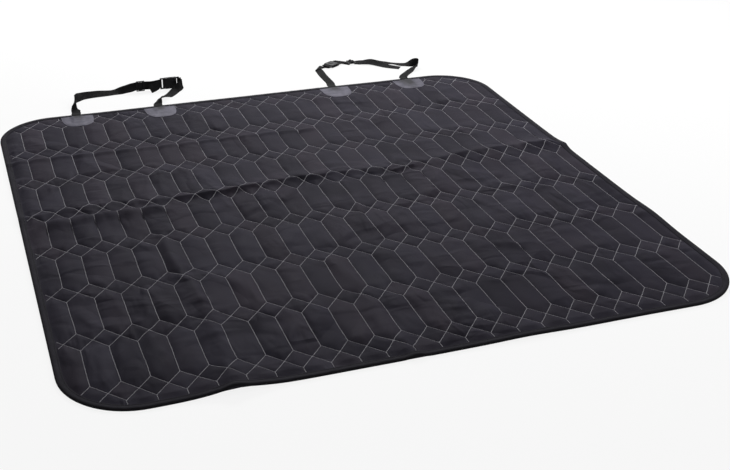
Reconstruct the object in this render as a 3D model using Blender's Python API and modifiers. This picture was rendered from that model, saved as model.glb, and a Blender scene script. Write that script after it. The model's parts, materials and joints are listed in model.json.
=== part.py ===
"""Quilted car seat cover, laid flat, with two buckled headrest loops behind its back edge.

Metres, +Z up. The origin is the centre of the panel's underside. +Y points to the edge with the
headrest loops, and +X to the right when that edge is at the far side.
"""
import math

import bmesh
import bpy
from mathutils import Matrix, Vector

# Panel outline
PANEL_WIDTH = 1.400
PANEL_DEPTH = 1.450
CORNER_RADIUS = 0.145
CORNER_STEPS = 7

# Layers of the panel, from the floor up
TOUCH = 0.0003
TAPE = 0.0006
BACKING_HEM = 0.0008
WADDING = 0.0008
FACE = 0.0006
PUFF = 0.0018

# Binding tape folded round the edge of the layers
BINDING_WIDTH = 0.015
BINDING_ROUND = 0.0006
HEM_SLOPE = 0.0015

# Stitch lattice: long hexagons in rows, with a row of diamonds between them
COLUMN_PITCH = 0.054
LONG_SIDE = 0.126
DIAMOND_DEPTH = 0.063
LEFT_MARGIN = 0.056
FRONT_MARGIN = 0.034

# Fold left across the panel by its packing
FOLD_FROM_BACK = 0.610
FOLD_HEIGHT = 0.010
FOLD_HALF_WIDTH = 0.035

# Anchor patches, two for each headrest loop
LOOP_OFFSET = 0.372
PATCH_OFFSET = 0.114
PATCH_WIDTH = 0.090
PATCH_FRONT_WIDTH = 0.072
PATCH_DEPTH = 0.076
PATCH_THICKNESS = 0.0009
PATCH_CORNER = 0.030
PATCH_CORNER_STEPS = 5
PATCH_SLOPE = 0.005
SEWN_LENGTH = 0.045

# Webbing
WEBBING_WIDTH = 0.025
WEBBING = 0.0012
WEBBING_STEPS = 3
STACK = 0.0022
STUB = 0.006
STUB_LIFT = 0.0032

# Tri-glide slider: two end bars, two slots and a centre bar
SLIDER_BAR = 0.003
SLIDER_SLOT = 0.007
SLIDER_CENTRE = 0.004
SLIDER_RAIL = 0.0025
SLIDER_THICKNESS = 0.002
SIDE_PLAY = 0.0005

# Side-release buckle
BUCKLE_WIDTH = 0.033
BUCKLE_THICKNESS = 0.009
BAR = 0.0035
BAR_THICKNESS = 0.003
BAR_SLOT = 0.0045
PRONG_BODY = 0.006
PRONG_LENGTH = 0.022
PRONG_THICKNESS = 0.0034
ARM_WIDTH = 0.0035
BARB_LENGTH = 0.0095
BARB_LIP = 0.0025
TONGUE_WIDTH = 0.005
TONGUE_SHORTER = 0.004
SOCKET_WALL = 0.003
SOCKET_BODY = 0.031
SOCKET_TAPER = 0.003
PLAY = 0.0004
EDGE_BEVEL = 0.0006

# Levels worked out from the layers
HEM_RISE = TAPE + TOUCH
BACKING_TOP = HEM_RISE + BACKING_HEM
WADDING_BOTTOM = BACKING_TOP + TOUCH
WADDING_TOP = WADDING_BOTTOM + WADDING
FACE_BOTTOM = WADDING_TOP + TOUCH
FACE_TOP = FACE_BOTTOM + FACE
BINDING_TOP = FACE_TOP + TOUCH + TAPE
PUFF_TOP = FACE_TOP + PUFF
REST_TOP = max(PUFF_TOP, BINDING_TOP)
LAYER_END = TAPE + TOUCH
HEM_START = BINDING_WIDTH + HEM_SLOPE

BACK_EDGE = PANEL_DEPTH / 2
FOLD_Y = BACK_EDGE - FOLD_FROM_BACK
FOLD_LINES = (FOLD_Y - FOLD_HALF_WIDTH, FOLD_Y, FOLD_Y + FOLD_HALF_WIDTH)

# Hardware sizes worked out from the webbing and the bars
SLIDER_LENGTH = 2 * SLIDER_BAR + 2 * SLIDER_SLOT + SLIDER_CENTRE
SLIDER_WIDTH = WEBBING_WIDTH + 2 * SIDE_PLAY + 2 * SLIDER_RAIL
BASE_LENGTH = BAR + BAR_SLOT + PRONG_BODY
SOCKET_START = BASE_LENGTH + TOUCH
SOCKET_END = SOCKET_START + SOCKET_BODY + SOCKET_TAPER + BAR_SLOT + BAR

FABRIC = (0.047, 0.044, 0.055)
PADDING = (0.60, 0.60, 0.58)
UNDERSIDE = (0.03, 0.03, 0.033)
HEM = (0.036, 0.034, 0.041)
LEATHERETTE = (0.19, 0.18, 0.22)
BLACK_WEBBING = (0.016, 0.016, 0.017)
BLACK_PLASTIC = (0.012, 0.012, 0.013)


def clear_scene():
    for obj in list(bpy.data.objects):
        bpy.data.objects.remove(obj, do_unlink=True)


def new_collection(name):
    collection = bpy.data.collections.new(name)
    bpy.context.scene.collection.children.link(collection)
    return collection


def material(name, colour, roughness):
    made = bpy.data.materials.new(name)
    made.use_nodes = True
    shader = made.node_tree.nodes["Principled BSDF"]
    shader.inputs["Base Color"].default_value = (*colour, 1.0)
    shader.inputs["Roughness"].default_value = roughness
    shader.inputs["Metallic"].default_value = 0.0
    return made


def add_object(name, bm, collection, finish=None):
    """Makes an object of a bmesh, faces outwards."""
    bmesh.ops.recalc_face_normals(bm, faces=bm.faces)
    mesh = bpy.data.meshes.new(name)
    bm.to_mesh(mesh)
    bm.free()
    obj = bpy.data.objects.new(name, mesh)
    collection.objects.link(obj)
    if finish:
        mesh.materials.append(finish)
    return obj


def fold_lift(y):
    """Height of the packing fold at depth y, the same for every layer."""
    return FOLD_HEIGHT * max(0.0, 1.0 - abs(y - FOLD_Y) / FOLD_HALF_WIDTH)


def corner_centre(sx, sy):
    return Vector((sx * (PANEL_WIDTH / 2 - CORNER_RADIUS), sy * (PANEL_DEPTH / 2 - CORNER_RADIUS)))


def outline(inset, folds=()):
    """The panel's rounded outline, inset metres inside its edge, anticlockwise."""
    points = []
    for quarter, (sx, sy) in enumerate(((1, 1), (-1, 1), (-1, -1), (1, -1))):
        centre = corner_centre(sx, sy)
        for step in range(CORNER_STEPS + 1):
            angle = math.pi / 2 * (quarter + step / CORNER_STEPS)
            radius = CORNER_RADIUS - inset
            points.append(centre + radius * Vector((math.cos(angle), math.sin(angle))))
        side = PANEL_WIDTH / 2 - inset
        if quarter == 1:
            points.extend(Vector((-side, y)) for y in sorted(folds, reverse=True))
        if quarter == 3:
            points.extend(Vector((side, y)) for y in sorted(folds))
    return points


def outwards(point, inset, new_inset):
    """Moves a point of one inset outline to its place on another."""
    sx = math.copysign(1.0, point.x)
    sy = math.copysign(1.0, point.y)
    centre = corner_centre(sx, sy)
    off = Vector((point.x, point.y)) - centre
    if off.x * sx > 0 and off.y * sy > 0:
        off *= (CORNER_RADIUS - new_inset) / (CORNER_RADIUS - inset)
        return Vector((centre.x + off.x, centre.y + off.y, point.z))
    gap = inset - new_inset
    if PANEL_WIDTH / 2 - abs(point.x) < PANEL_DEPTH / 2 - abs(point.y):
        return Vector((point.x + sx * gap, point.y, point.z))
    return Vector((point.x, point.y + sy * gap, point.z))


def spread_rings(bm, insets):
    """Grows a flat sheet by one ring of faces from each inset outline to the next."""
    for inset, new_inset in zip(insets, insets[1:]):
        rim = [edge for edge in bm.edges if edge.is_boundary]
        grown = bmesh.ops.extrude_edge_only(bm, edges=rim)["geom"]
        for vert in grown:
            if isinstance(vert, bmesh.types.BMVert):
                vert.co = outwards(vert.co, inset, new_inset)


def cut_fold_lines(bm):
    for y in FOLD_LINES:
        geometry = bm.verts[:] + bm.edges[:] + bm.faces[:]
        bmesh.ops.bisect_plane(bm, geom=geometry, dist=1e-6, plane_co=(0, y, 0), plane_no=(0, 1, 0))


def thicken(bm, bottom, top):
    """Turns a flat sheet into a closed layer between two height functions of its points."""
    lower = list(bm.verts)
    made = bmesh.ops.extrude_face_region(bm, geom=bm.faces[:])["geom"]
    upper = [vert for vert in made if isinstance(vert, bmesh.types.BMVert)]
    for vert in upper:
        vert.co.z = top(vert.co) + fold_lift(vert.co.y)
    for vert in lower:
        vert.co.z = bottom(vert.co) + fold_lift(vert.co.y)
    return lower


def plain_sheet():
    """A flat rounded sheet that ends where the hem begins, cut at the fold."""
    bm = bmesh.new()
    bm.faces.new([bm.verts.new((p.x, p.y, 0)) for p in outline(HEM_START)])
    cut_fold_lines(bm)
    return bm


def backing(collection, finish):
    """Lower cloth, flat on the floor, its edge raised over the binding's lower side."""
    bm = plain_sheet()
    spread_rings(bm, (HEM_START, BINDING_WIDTH, LAYER_END))
    reach = {vert: inside(vert.co, BINDING_WIDTH + HEM_SLOPE / 2) for vert in bm.verts}
    flat = {tuple(round(c, 7) for c in vert.co) for vert, within in reach.items() if within}

    def bottom(co):
        return 0.0 if tuple(round(c, 7) for c in co) in flat else HEM_RISE

    thicken(bm, bottom, lambda co: BACKING_TOP)
    return add_object("backing", bm, collection, finish)


def inside(point, inset):
    """Whether a point lies within the outline at an inset."""
    dx = abs(point.x) - (PANEL_WIDTH / 2 - CORNER_RADIUS)
    dy = abs(point.y) - (PANEL_DEPTH / 2 - CORNER_RADIUS)
    reach = CORNER_RADIUS - inset
    if dx > 0 and dy > 0:
        return math.hypot(dx, dy) < reach
    return max(dx, dy) < reach


def wadding(collection, finish):
    bm = plain_sheet()
    spread_rings(bm, (HEM_START, LAYER_END))
    thicken(bm, lambda co: WADDING_BOTTOM, lambda co: WADDING_TOP)
    return add_object("wadding", bm, collection, finish)


def tile_outlines():
    """The stitched tiles that cover the panel: diamonds on the columns, hexagons between."""
    row_pitch = LONG_SIDE + DIAMOND_DEPTH
    left = LEFT_MARGIN - PANEL_WIDTH / 2
    front = FRONT_MARGIN - PANEL_DEPTH / 2
    half = COLUMN_PITCH / 2
    rise = DIAMOND_DEPTH / 2
    first_column = -math.ceil(LEFT_MARGIN / COLUMN_PITCH) - 1
    columns = math.ceil(PANEL_WIDTH / COLUMN_PITCH) + 2
    rows = math.ceil(PANEL_DEPTH / row_pitch) + 1
    for row in range(-1, rows):
        for column in range(first_column, first_column + columns + 1):
            x = left + column * COLUMN_PITCH
            y = front + row * row_pitch
            yield [(x, y), (x + half, y + rise), (x, y + 2 * rise), (x - half, y + rise)]
            low = y + DIAMOND_DEPTH
            high = low + LONG_SIDE
            yield [(x, low), (x + half, low - rise), (x + 2 * half, low),
                   (x + 2 * half, high), (x + half, high + rise), (x, high)]


def trim_to_outline(bm, inset):
    points = outline(inset)
    for start, end in zip(points, points[1:] + points[:1]):
        along = end - start
        if along.length < 1e-6:
            continue
        geometry = bm.verts[:] + bm.edges[:] + bm.faces[:]
        bmesh.ops.bisect_plane(bm, geom=geometry, dist=1e-6, plane_co=(start.x, start.y, 0),
                               plane_no=(along.y, -along.x, 0), clear_outer=True)


def face_fabric(collection, finish):
    """Upper cloth, stitched down along the lattice and puffed up by the padding in each tile."""
    bm = bmesh.new()
    for corners in tile_outlines():
        bm.faces.new([bm.verts.new((x, y, 0)) for x, y in corners])
    bmesh.ops.remove_doubles(bm, verts=bm.verts, dist=1e-5)
    trim_to_outline(bm, HEM_START)
    whole_tile = COLUMN_PITCH * DIAMOND_DEPTH / 2
    heights = {face: PUFF * min(1.0, face.calc_area() / whole_tile) for face in bm.faces}
    for face, height in heights.items():
        centre = bmesh.ops.poke(bm, faces=[face])["verts"][0]
        centre.co.z = height
    cut_fold_lines(bm)
    spread_rings(bm, (HEM_START, LAYER_END))
    lower = thicken(bm, lambda co: FACE_BOTTOM, lambda co: FACE_TOP + co.z)
    members = set(lower)
    flat_edges = [edge for edge in bm.edges if members.issuperset(edge.verts)]
    bm.normal_update()
    bmesh.ops.dissolve_limit(bm, angle_limit=math.radians(0.05), verts=lower, edges=flat_edges)
    return add_object("face_fabric", bm, collection, finish)


def edge_binding(collection, finish):
    """Tape folded into a U round the edge of the three layers."""
    width, bend, top = BINDING_WIDTH, BINDING_ROUND, BINDING_TOP
    section = [(width, 0), (bend, 0), (0, bend), (0, top - bend), (bend, top), (width, top),
               (width, top - TAPE), (TAPE, top - TAPE), (TAPE, TAPE), (width, TAPE)]
    bm = bmesh.new()
    rings = []
    for inset, z in section:
        ring = [Vector((p.x, p.y, z + fold_lift(p.y))) for p in outline(inset, FOLD_LINES)]
        rings.append([bm.verts.new(p) for p in ring])
    for ring, following in zip(rings, rings[1:] + rings[:1]):
        for i, corner in enumerate(ring):
            j = (i + 1) % len(ring)
            bm.faces.new((corner, ring[j], following[j], following[i]))
    return add_object("edge_binding", bm, collection, finish)


def patch_outline():
    """A D-shaped patch: straight at the back, narrower and rounded at the front."""
    back = PATCH_WIDTH / 2
    narrowing = back - PATCH_FRONT_WIDTH / 2
    side = math.hypot(PATCH_DEPTH, narrowing)
    middle_y = PATCH_CORNER - PATCH_DEPTH
    middle_x = back - (PATCH_CORNER * side - middle_y * narrowing) / PATCH_DEPTH
    start = math.atan2(narrowing, PATCH_DEPTH)
    half = [Vector((back, 0))]
    for step in range(PATCH_CORNER_STEPS + 1):
        angle = -start - (math.pi / 2 - start) * step / PATCH_CORNER_STEPS
        x = middle_x + PATCH_CORNER * math.cos(angle)
        half.append(Vector((x, middle_y + PATCH_CORNER * math.sin(angle))))
    return half + [Vector((-p.x, p.y)) for p in reversed(half)]


def patch_rise(u, v):
    """How far the patch stands up over the strap end that it covers."""
    covered = WEBBING_WIDTH / 2 + SIDE_PLAY * 2
    side = 1.0 - (abs(u) - covered) / PATCH_SLOPE
    end = 1.0 - (-v - SEWN_LENGTH - SIDE_PLAY) / PATCH_SLOPE
    return (WEBBING + TOUCH) * min(max(side, 0.0), 1.0) * min(max(end, 0.0), 1.0)


def anchor_patch(name, x, collection, finish):
    """Leatherette patch sewn over the end of a strap."""
    back = BACK_EDGE - BINDING_WIDTH - TOUCH
    low = REST_TOP + TOUCH
    covered = WEBBING_WIDTH / 2 + SIDE_PLAY * 2
    end = SEWN_LENGTH + SIDE_PLAY
    bm = bmesh.new()
    bm.faces.new([bm.verts.new((p.x, p.y, 0)) for p in patch_outline()])
    cuts = [((side * u, 0, 0), (1, 0, 0)) for side in (-1, 1) for u in (covered, covered + PATCH_SLOPE)]
    cuts += [((0, -v, 0), (0, 1, 0)) for v in (end, end + PATCH_SLOPE)]
    for point, normal in cuts:
        geometry = bm.verts[:] + bm.edges[:] + bm.faces[:]
        bmesh.ops.bisect_plane(bm, geom=geometry, dist=1e-6, plane_co=point, plane_no=normal)
    bmesh.ops.triangulate(bm, faces=bm.faces)
    lower = list(bm.verts)
    made = bmesh.ops.extrude_face_region(bm, geom=bm.faces[:])["geom"]
    upper = [vert for vert in made if isinstance(vert, bmesh.types.BMVert)]
    for verts, base in ((lower, low), (upper, low + PATCH_THICKNESS)):
        for vert in verts:
            vert.co = (x + vert.co.x, back + vert.co.y, base + patch_rise(vert.co.x, vert.co.y))
    return add_object(name, bm, collection, finish)


class Station:
    """One place on a strap: its middle, and half its width as a vector to its left edge."""

    def __init__(self, centre, half=None, tilt=None):
        self.centre = Vector(centre)
        self.half = half
        self.tilt = tilt

    @property
    def exact(self):
        return self.tilt is None


def lying(x, y, lift=0.0, tilt=0.0):
    """A free place on a strap whose lower edge is lift above the floor."""
    turn = math.radians(tilt)
    size = WEBBING_WIDTH * abs(math.sin(turn)) + WEBBING * abs(math.cos(turn))
    return Station((x, y, lift + size / 2), tilt=turn)


def across(direction, tilt):
    """Unit vector to a strap's left edge: level at tilt 0, upright at a quarter turn."""
    level = Vector((-direction.y, direction.x, 0)).normalized()
    return level * math.cos(tilt) + direction.normalized().cross(level) * math.sin(tilt)


def direction_at(stations, index):
    before = stations[max(index - 1, 0)].centre
    after = stations[min(index + 1, len(stations) - 1)].centre
    return (after - before).normalized()


def catmull_rom(p0, p1, p2, p3, t):
    return 0.5 * (2 * p1 + (p2 - p0) * t + (2 * p0 - 5 * p1 + 4 * p2 - p3) * t * t
                  + (3 * p1 - p0 - 3 * p2 + p3) * t ** 3)


def rulings(stations):
    """Fills a strap's list of places with the smooth ones between them."""
    for index, station in enumerate(stations):
        if not station.exact:
            direction = direction_at(stations, index)
            station.half = across(direction, station.tilt) * WEBBING_WIDTH / 2
    filled = []
    last = len(stations) - 1
    for index in range(last):
        here, after = stations[index], stations[index + 1]
        filled.append((here.centre, here.half))
        if here.exact and after.exact:
            continue
        around = [stations[min(max(index + k, 0), last)].centre for k in (-1, 0, 1, 2)]
        for step in range(1, WEBBING_STEPS):
            t = step / WEBBING_STEPS
            half = here.half.lerp(after.half, t).normalized() * WEBBING_WIDTH / 2
            filled.append((catmull_rom(*around, t), half))
    filled.append((stations[last].centre, stations[last].half))
    return filled


def web_faces(bm, ring, following):
    """Joins two sections of webbing. Both sides split along one diagonal, so a twist keeps its thickness."""
    a, b, c, d = ring
    e, f, g, h = following
    sides = ((a, b, f), (a, f, e), (b, c, g), (b, g, f), (c, d, g), (d, h, g), (d, a, e), (d, e, h))
    for corners in sides:
        bm.faces.new(corners)


def strap(name, stations, collection, finish):
    """Webbing lofted through its places, with square edges and cut ends."""
    places = rulings(stations)
    bm = bmesh.new()
    rings = []
    last = len(places) - 1
    for index, (centre, half) in enumerate(places):
        direction = places[min(index + 1, last)][0] - places[max(index - 1, 0)][0]
        up = direction.cross(half).normalized() * WEBBING / 2
        corners = (centre - half - up, centre + half - up, centre + half + up, centre - half + up)
        rings.append([bm.verts.new(corner) for corner in corners])
    for ring, following in zip(rings, rings[1:]):
        web_faces(bm, ring, following)
    bm.faces.new(rings[0])
    bm.faces.new(rings[-1])
    return add_object(name, bm, collection, finish)


def hardware_frame(x, y, heading, tilt, width, thickness, lift=0.0):
    """Place of a buckle or slider: local X along the strap, Y across it, Z through it."""
    turn = math.radians(tilt)
    height = lift + (width * abs(math.sin(turn)) + thickness * abs(math.cos(turn))) / 2
    along = Vector((math.cos(math.radians(heading)), math.sin(math.radians(heading)), 0))
    left = across(along, turn)
    through = along.cross(left)
    frame = Matrix((along, left, through)).transposed().to_4x4()
    frame.translation = (x, y, height)
    return frame


def held(frame, along, through):
    """A place on a strap fixed by a buckle or slider."""
    half = frame.to_3x3() @ Vector((0, WEBBING_WIDTH / 2, 0))
    return Station(frame @ Vector((along, 0, through)), half=half)


def slider_pass(frame, level, way):
    """A layer of webbing under the slider's end bars and over its centre bar."""
    clear = SLIDER_THICKNESS / 2 + TOUCH + WEBBING / 2
    under = -clear - level[0]
    over = clear + level[1]
    outer = SLIDER_CENTRE / 2 + SLIDER_SLOT + SLIDER_BAR
    inner = SLIDER_CENTRE / 2 + SLIDER_SLOT - WEBBING / 6
    top = SLIDER_CENTRE / 2 + WEBBING / 6
    path = [(-outer, under), (-inner, under), (-top, over), (top, over), (inner, under), (outer, under)]
    return [held(frame, way * along, through) for along, through in path]


def bar_wrap(frame, bar_middle, way, side=1):
    """Webbing round a bar: it comes in below, turns in the slot and leaves above, or the reverse."""
    half_bar = BAR / 2
    half_thick = BAR_THICKNESS / 2
    radius = TOUCH + WEBBING / 2
    path = [(-half_bar - radius, -half_thick - radius)]
    for corner, start in ((-1, -90), (1, 0)):
        for step in range(3):
            angle = math.radians(start + 45 * step)
            through = corner * half_thick + radius * math.sin(angle)
            path.append((half_bar + radius * math.cos(angle), through))
    path.append((-half_bar - radius, half_thick + radius))
    return [held(frame, bar_middle + way * along, side * through) for along, through in path]


def creased(x, y, heading_in, heading_out):
    """Webbing folded flat over itself along a slanting crease, the far side on top."""
    heading = math.radians((heading_in + heading_out) / 2)
    crease = Vector((math.cos(heading), math.sin(heading), 0))
    first = math.radians(heading_in)
    way_in = Vector((math.cos(first), math.sin(first), 0))
    second = math.radians(heading_out)
    way_out = Vector((math.cos(second), math.sin(second), 0))
    slant = abs(crease.cross(way_in).z)
    run = abs(crease.dot(way_in))
    level = Vector((-way_in.y, way_in.x, 0))
    reach = crease * math.copysign(WEBBING_WIDTH / 2 / slant, crease.dot(level))
    outward = (way_in - crease * crease.dot(way_in)).normalized()
    radius = WEBBING / 2 + TOUCH
    start = Vector((x, y, WEBBING / 2))
    lead = WEBBING_WIDTH / 2 * run / slant + 2 * WEBBING
    places = [Station(start - way_in * lead, half=level * WEBBING_WIDTH / 2)]
    for step in range(5):
        angle = math.pi * step / 4
        off = outward * radius * math.sin(angle) + Vector((0, 0, radius * (1 - math.cos(angle))))
        slide = crease * crease.dot(way_in) * radius * angle / slant
        places.append(Station(start + off + slide, half=reach))
    flipped = crease * 2 * crease.dot(level) - level
    places.append(Station(places[-1].centre + way_out * lead, half=flipped * WEBBING_WIDTH / 2))
    return places


def sewn_end(x):
    """A strap's end under its patch, over the binding and down to the floor."""
    rest = REST_TOP + TOUCH
    inner = BACK_EDGE - BINDING_WIDTH - TOUCH
    over = BINDING_TOP + TOUCH
    return [lying(x, inner - SEWN_LENGTH, rest), lying(x, inner - SEWN_LENGTH / 2, rest),
            lying(x, inner, rest), lying(x, BACK_EDGE - BINDING_WIDTH / 3, rest),
            lying(x, BACK_EDGE + WEBBING, (rest + over) / 2)]


def prism(name, points, axis, half, collection, finish=None):
    """An outline drawn in two local axes and extruded both ways along the third."""
    bm = bmesh.new()
    corners = [(a, -half, b) if axis == "Y" else (a, b, -half) for a, b in points]
    face = bm.faces.new([bm.verts.new(corner) for corner in corners])
    made = bmesh.ops.extrude_face_region(bm, geom=[face])["geom"]
    moved = [vert for vert in made if isinstance(vert, bmesh.types.BMVert)]
    shift = (0, 2 * half, 0) if axis == "Y" else (0, 0, 2 * half)
    bmesh.ops.translate(bm, verts=moved, vec=shift)
    return add_object(name, bm, collection, finish)


def box_cutter(name, low, high, collection):
    bm = bmesh.new()
    bmesh.ops.create_cube(bm, size=1.0)
    for vert in bm.verts:
        vert.co = [low[i] + (vert.co[i] + 0.5) * (high[i] - low[i]) for i in range(3)]
    cutter = add_object(name, bm, collection)
    cutter.hide_render = True
    cutter.display_type = "WIRE"
    return cutter


def soften(obj):
    bevel = obj.modifiers.new("rounded edges", "BEVEL")
    bevel.width = EDGE_BEVEL
    bevel.segments = 1
    bevel.limit_method = "ANGLE"
    bevel.angle_limit = math.radians(40)


def carve(obj, cutters, frame):
    """Cuts an object by boxes drawn in its own axes, and sets all in their place."""
    for cutter in cutters:
        cutter.matrix_world = frame
        cut = obj.modifiers.new(cutter.name, "BOOLEAN")
        cut.operation = "DIFFERENCE"
        cut.object = cutter
    obj.matrix_world = frame


def slider(name, frame, parts, cutters, finish):
    """Flat frame with a centre bar that the webbing passes over."""
    length, width = SLIDER_LENGTH / 2, SLIDER_WIDTH / 2
    corners = [(-length, -width), (length, -width), (length, width), (-length, width)]
    made = prism(name, corners, "Z", SLIDER_THICKNESS / 2, parts, finish)
    soften(made)
    slot = WEBBING_WIDTH / 2 + SIDE_PLAY
    near, far = SLIDER_CENTRE / 2, SLIDER_CENTRE / 2 + SLIDER_SLOT
    boxes = []
    for tag, start, end in (("first", -far, -near), ("second", near, far)):
        low = (start, -slot, -SLIDER_THICKNESS)
        high = (end, slot, SLIDER_THICKNESS)
        boxes.append(box_cutter(f"{name}_{tag}_slot", low, high, cutters))
    carve(made, boxes, frame)
    return made


def cavity_half_width():
    return BUCKLE_WIDTH / 2 - SOCKET_WALL


def buckle_prong(name, frame, parts, cutters, finish):
    """Half with two springy arms and a guide tongue, and a bar for the long strap."""
    side = BUCKLE_WIDTH / 2
    arm = cavity_half_width() - PLAY
    tip = BASE_LENGTH + PRONG_LENGTH
    barb = tip - BARB_LENGTH
    tongue = TONGUE_WIDTH / 2
    root = BASE_LENGTH + PLAY
    half = [(0, side), (BASE_LENGTH, side), (BASE_LENGTH, arm), (barb, arm), (barb, arm + BARB_LIP),
            (barb + BARB_LIP, arm + BARB_LIP), (tip, arm - ARM_WIDTH / 2), (tip, arm - ARM_WIDTH),
            (root, arm - ARM_WIDTH), (root, tongue), (tip - TONGUE_SHORTER, tongue)]
    points = half + [(a, -b) for a, b in reversed(half)]
    made = prism(name, points, "Z", PRONG_THICKNESS / 2, parts, finish)
    slot = WEBBING_WIDTH / 2 + SIDE_PLAY
    low = (BAR, -slot, -PRONG_THICKNESS)
    high = (BAR + BAR_SLOT, slot, PRONG_THICKNESS)
    carve(made, [box_cutter(f"{name}_slot", low, high, cutters)], frame)
    return made


def buckle_socket(name, frame, parts, cutters, finish):
    """Hollow half with side windows for the barbs, and a bar for the short strap."""
    thick, thin = BUCKLE_THICKNESS / 2, BAR_THICKNESS / 2
    body_end = SOCKET_START + SOCKET_BODY
    taper_end = body_end + SOCKET_TAPER
    side = BUCKLE_WIDTH / 2
    profile = [(SOCKET_START, thick), (body_end, thick), (taper_end, thin), (SOCKET_END, thin)]
    profile += [(a, -b) for a, b in reversed(profile)]
    made = prism(name, profile, "Y", side, parts, finish)
    soften(made)
    tip = BASE_LENGTH + PRONG_LENGTH
    gap = PRONG_THICKNESS / 2 + PLAY
    inner = cavity_half_width()
    past = SOCKET_WALL
    window = (tip - BARB_LENGTH - PLAY, tip - PLAY)
    slot = WEBBING_WIDTH / 2 + SIDE_PLAY
    boxes = [
        box_cutter(f"{name}_cavity", (SOCKET_START - past, -inner, -gap), (tip + 2 * PLAY, inner, gap), cutters),
        box_cutter(f"{name}_windows", (window[0], -side - past, -gap), (window[1], side + past, gap), cutters),
        box_cutter(f"{name}_slot", (taper_end, -slot, -thick), (taper_end + BAR_SLOT, slot, thick), cutters),
    ]
    carve(made, boxes, frame)
    return made


def left_loop(parts, cutters, webbing, plastic):
    """Loop that stands on its edge behind the back edge, buckled near its right end."""
    middle = -LOOP_OFFSET
    edge = BACK_EDGE
    outer = middle - PATCH_OFFSET
    inner = middle + PATCH_OFFSET
    line = edge + 0.146
    slide = hardware_frame(middle + 0.091, line, 0, 90, SLIDER_WIDTH, SLIDER_THICKNESS)
    clasp = hardware_frame(middle + 0.149, line, -1, 90, BUCKLE_WIDTH, BUCKLE_THICKNESS)

    long_way = sewn_end(outer)
    long_way += [
        lying(outer + 0.003, edge + 0.018, 0.0012, 5),
        lying(outer + 0.005, edge + 0.034, 0.0005, 20),
        lying(outer + 0.011, edge + 0.052, 0.0005, 85),
        lying(outer + 0.009, edge + 0.076, 0.0005, 125),
        lying(outer + 0.017, edge + 0.106, 0.0005, 78),
        lying(outer + 0.041, edge + 0.133, 0.0005, 47),
        lying(outer + 0.077, edge + 0.141, 0.0005, 36),
        lying(outer + 0.124, edge + 0.146, 0.0005, 30),
        lying(outer + 0.158, edge + 0.147, 0.0005, 48),
    ]
    long_way += slider_pass(slide, (0.0, 0.0), 1)
    long_way += [lying(middle + 0.125, line - 0.001, 0.0028, 90)]
    long_way += bar_wrap(clasp, BAR / 2, 1)
    long_way += [
        lying(middle + 0.139, edge + 0.138, 0.0010, 95),
        lying(middle + 0.124, edge + 0.130, 0.0002, 118),
    ]
    strap("left_long_strap", long_way, parts, webbing)

    short_way = sewn_end(inner)
    short_way += [
        lying(inner + 0.003, edge + 0.018, 0.0012, -12),
        lying(inner + 0.011, edge + 0.040, 0.0005, -45),
        lying(inner + 0.026, edge + 0.060, 0.0005, -20),
        lying(inner + 0.047, edge + 0.078, 0.0005, 5),
        lying(inner + 0.072, edge + 0.109, 0.0005, 18),
        lying(inner + 0.092, edge + 0.127, 0.0010, 62),
        lying(inner + 0.0985, edge + 0.1365, 0.0030, 84),
    ]
    short_way += bar_wrap(clasp, SOCKET_END - BAR / 2, -1, side=-1)
    short_way += [held(clasp, SOCKET_END + STUB, -STUB_LIFT)]
    strap("left_short_strap", short_way, parts, webbing)

    slider("left_slider", slide, parts, cutters, plastic)
    buckle_prong("left_buckle_prong", clasp, parts, cutters, plastic)
    buckle_socket("left_buckle_socket", clasp, parts, cutters, plastic)


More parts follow.
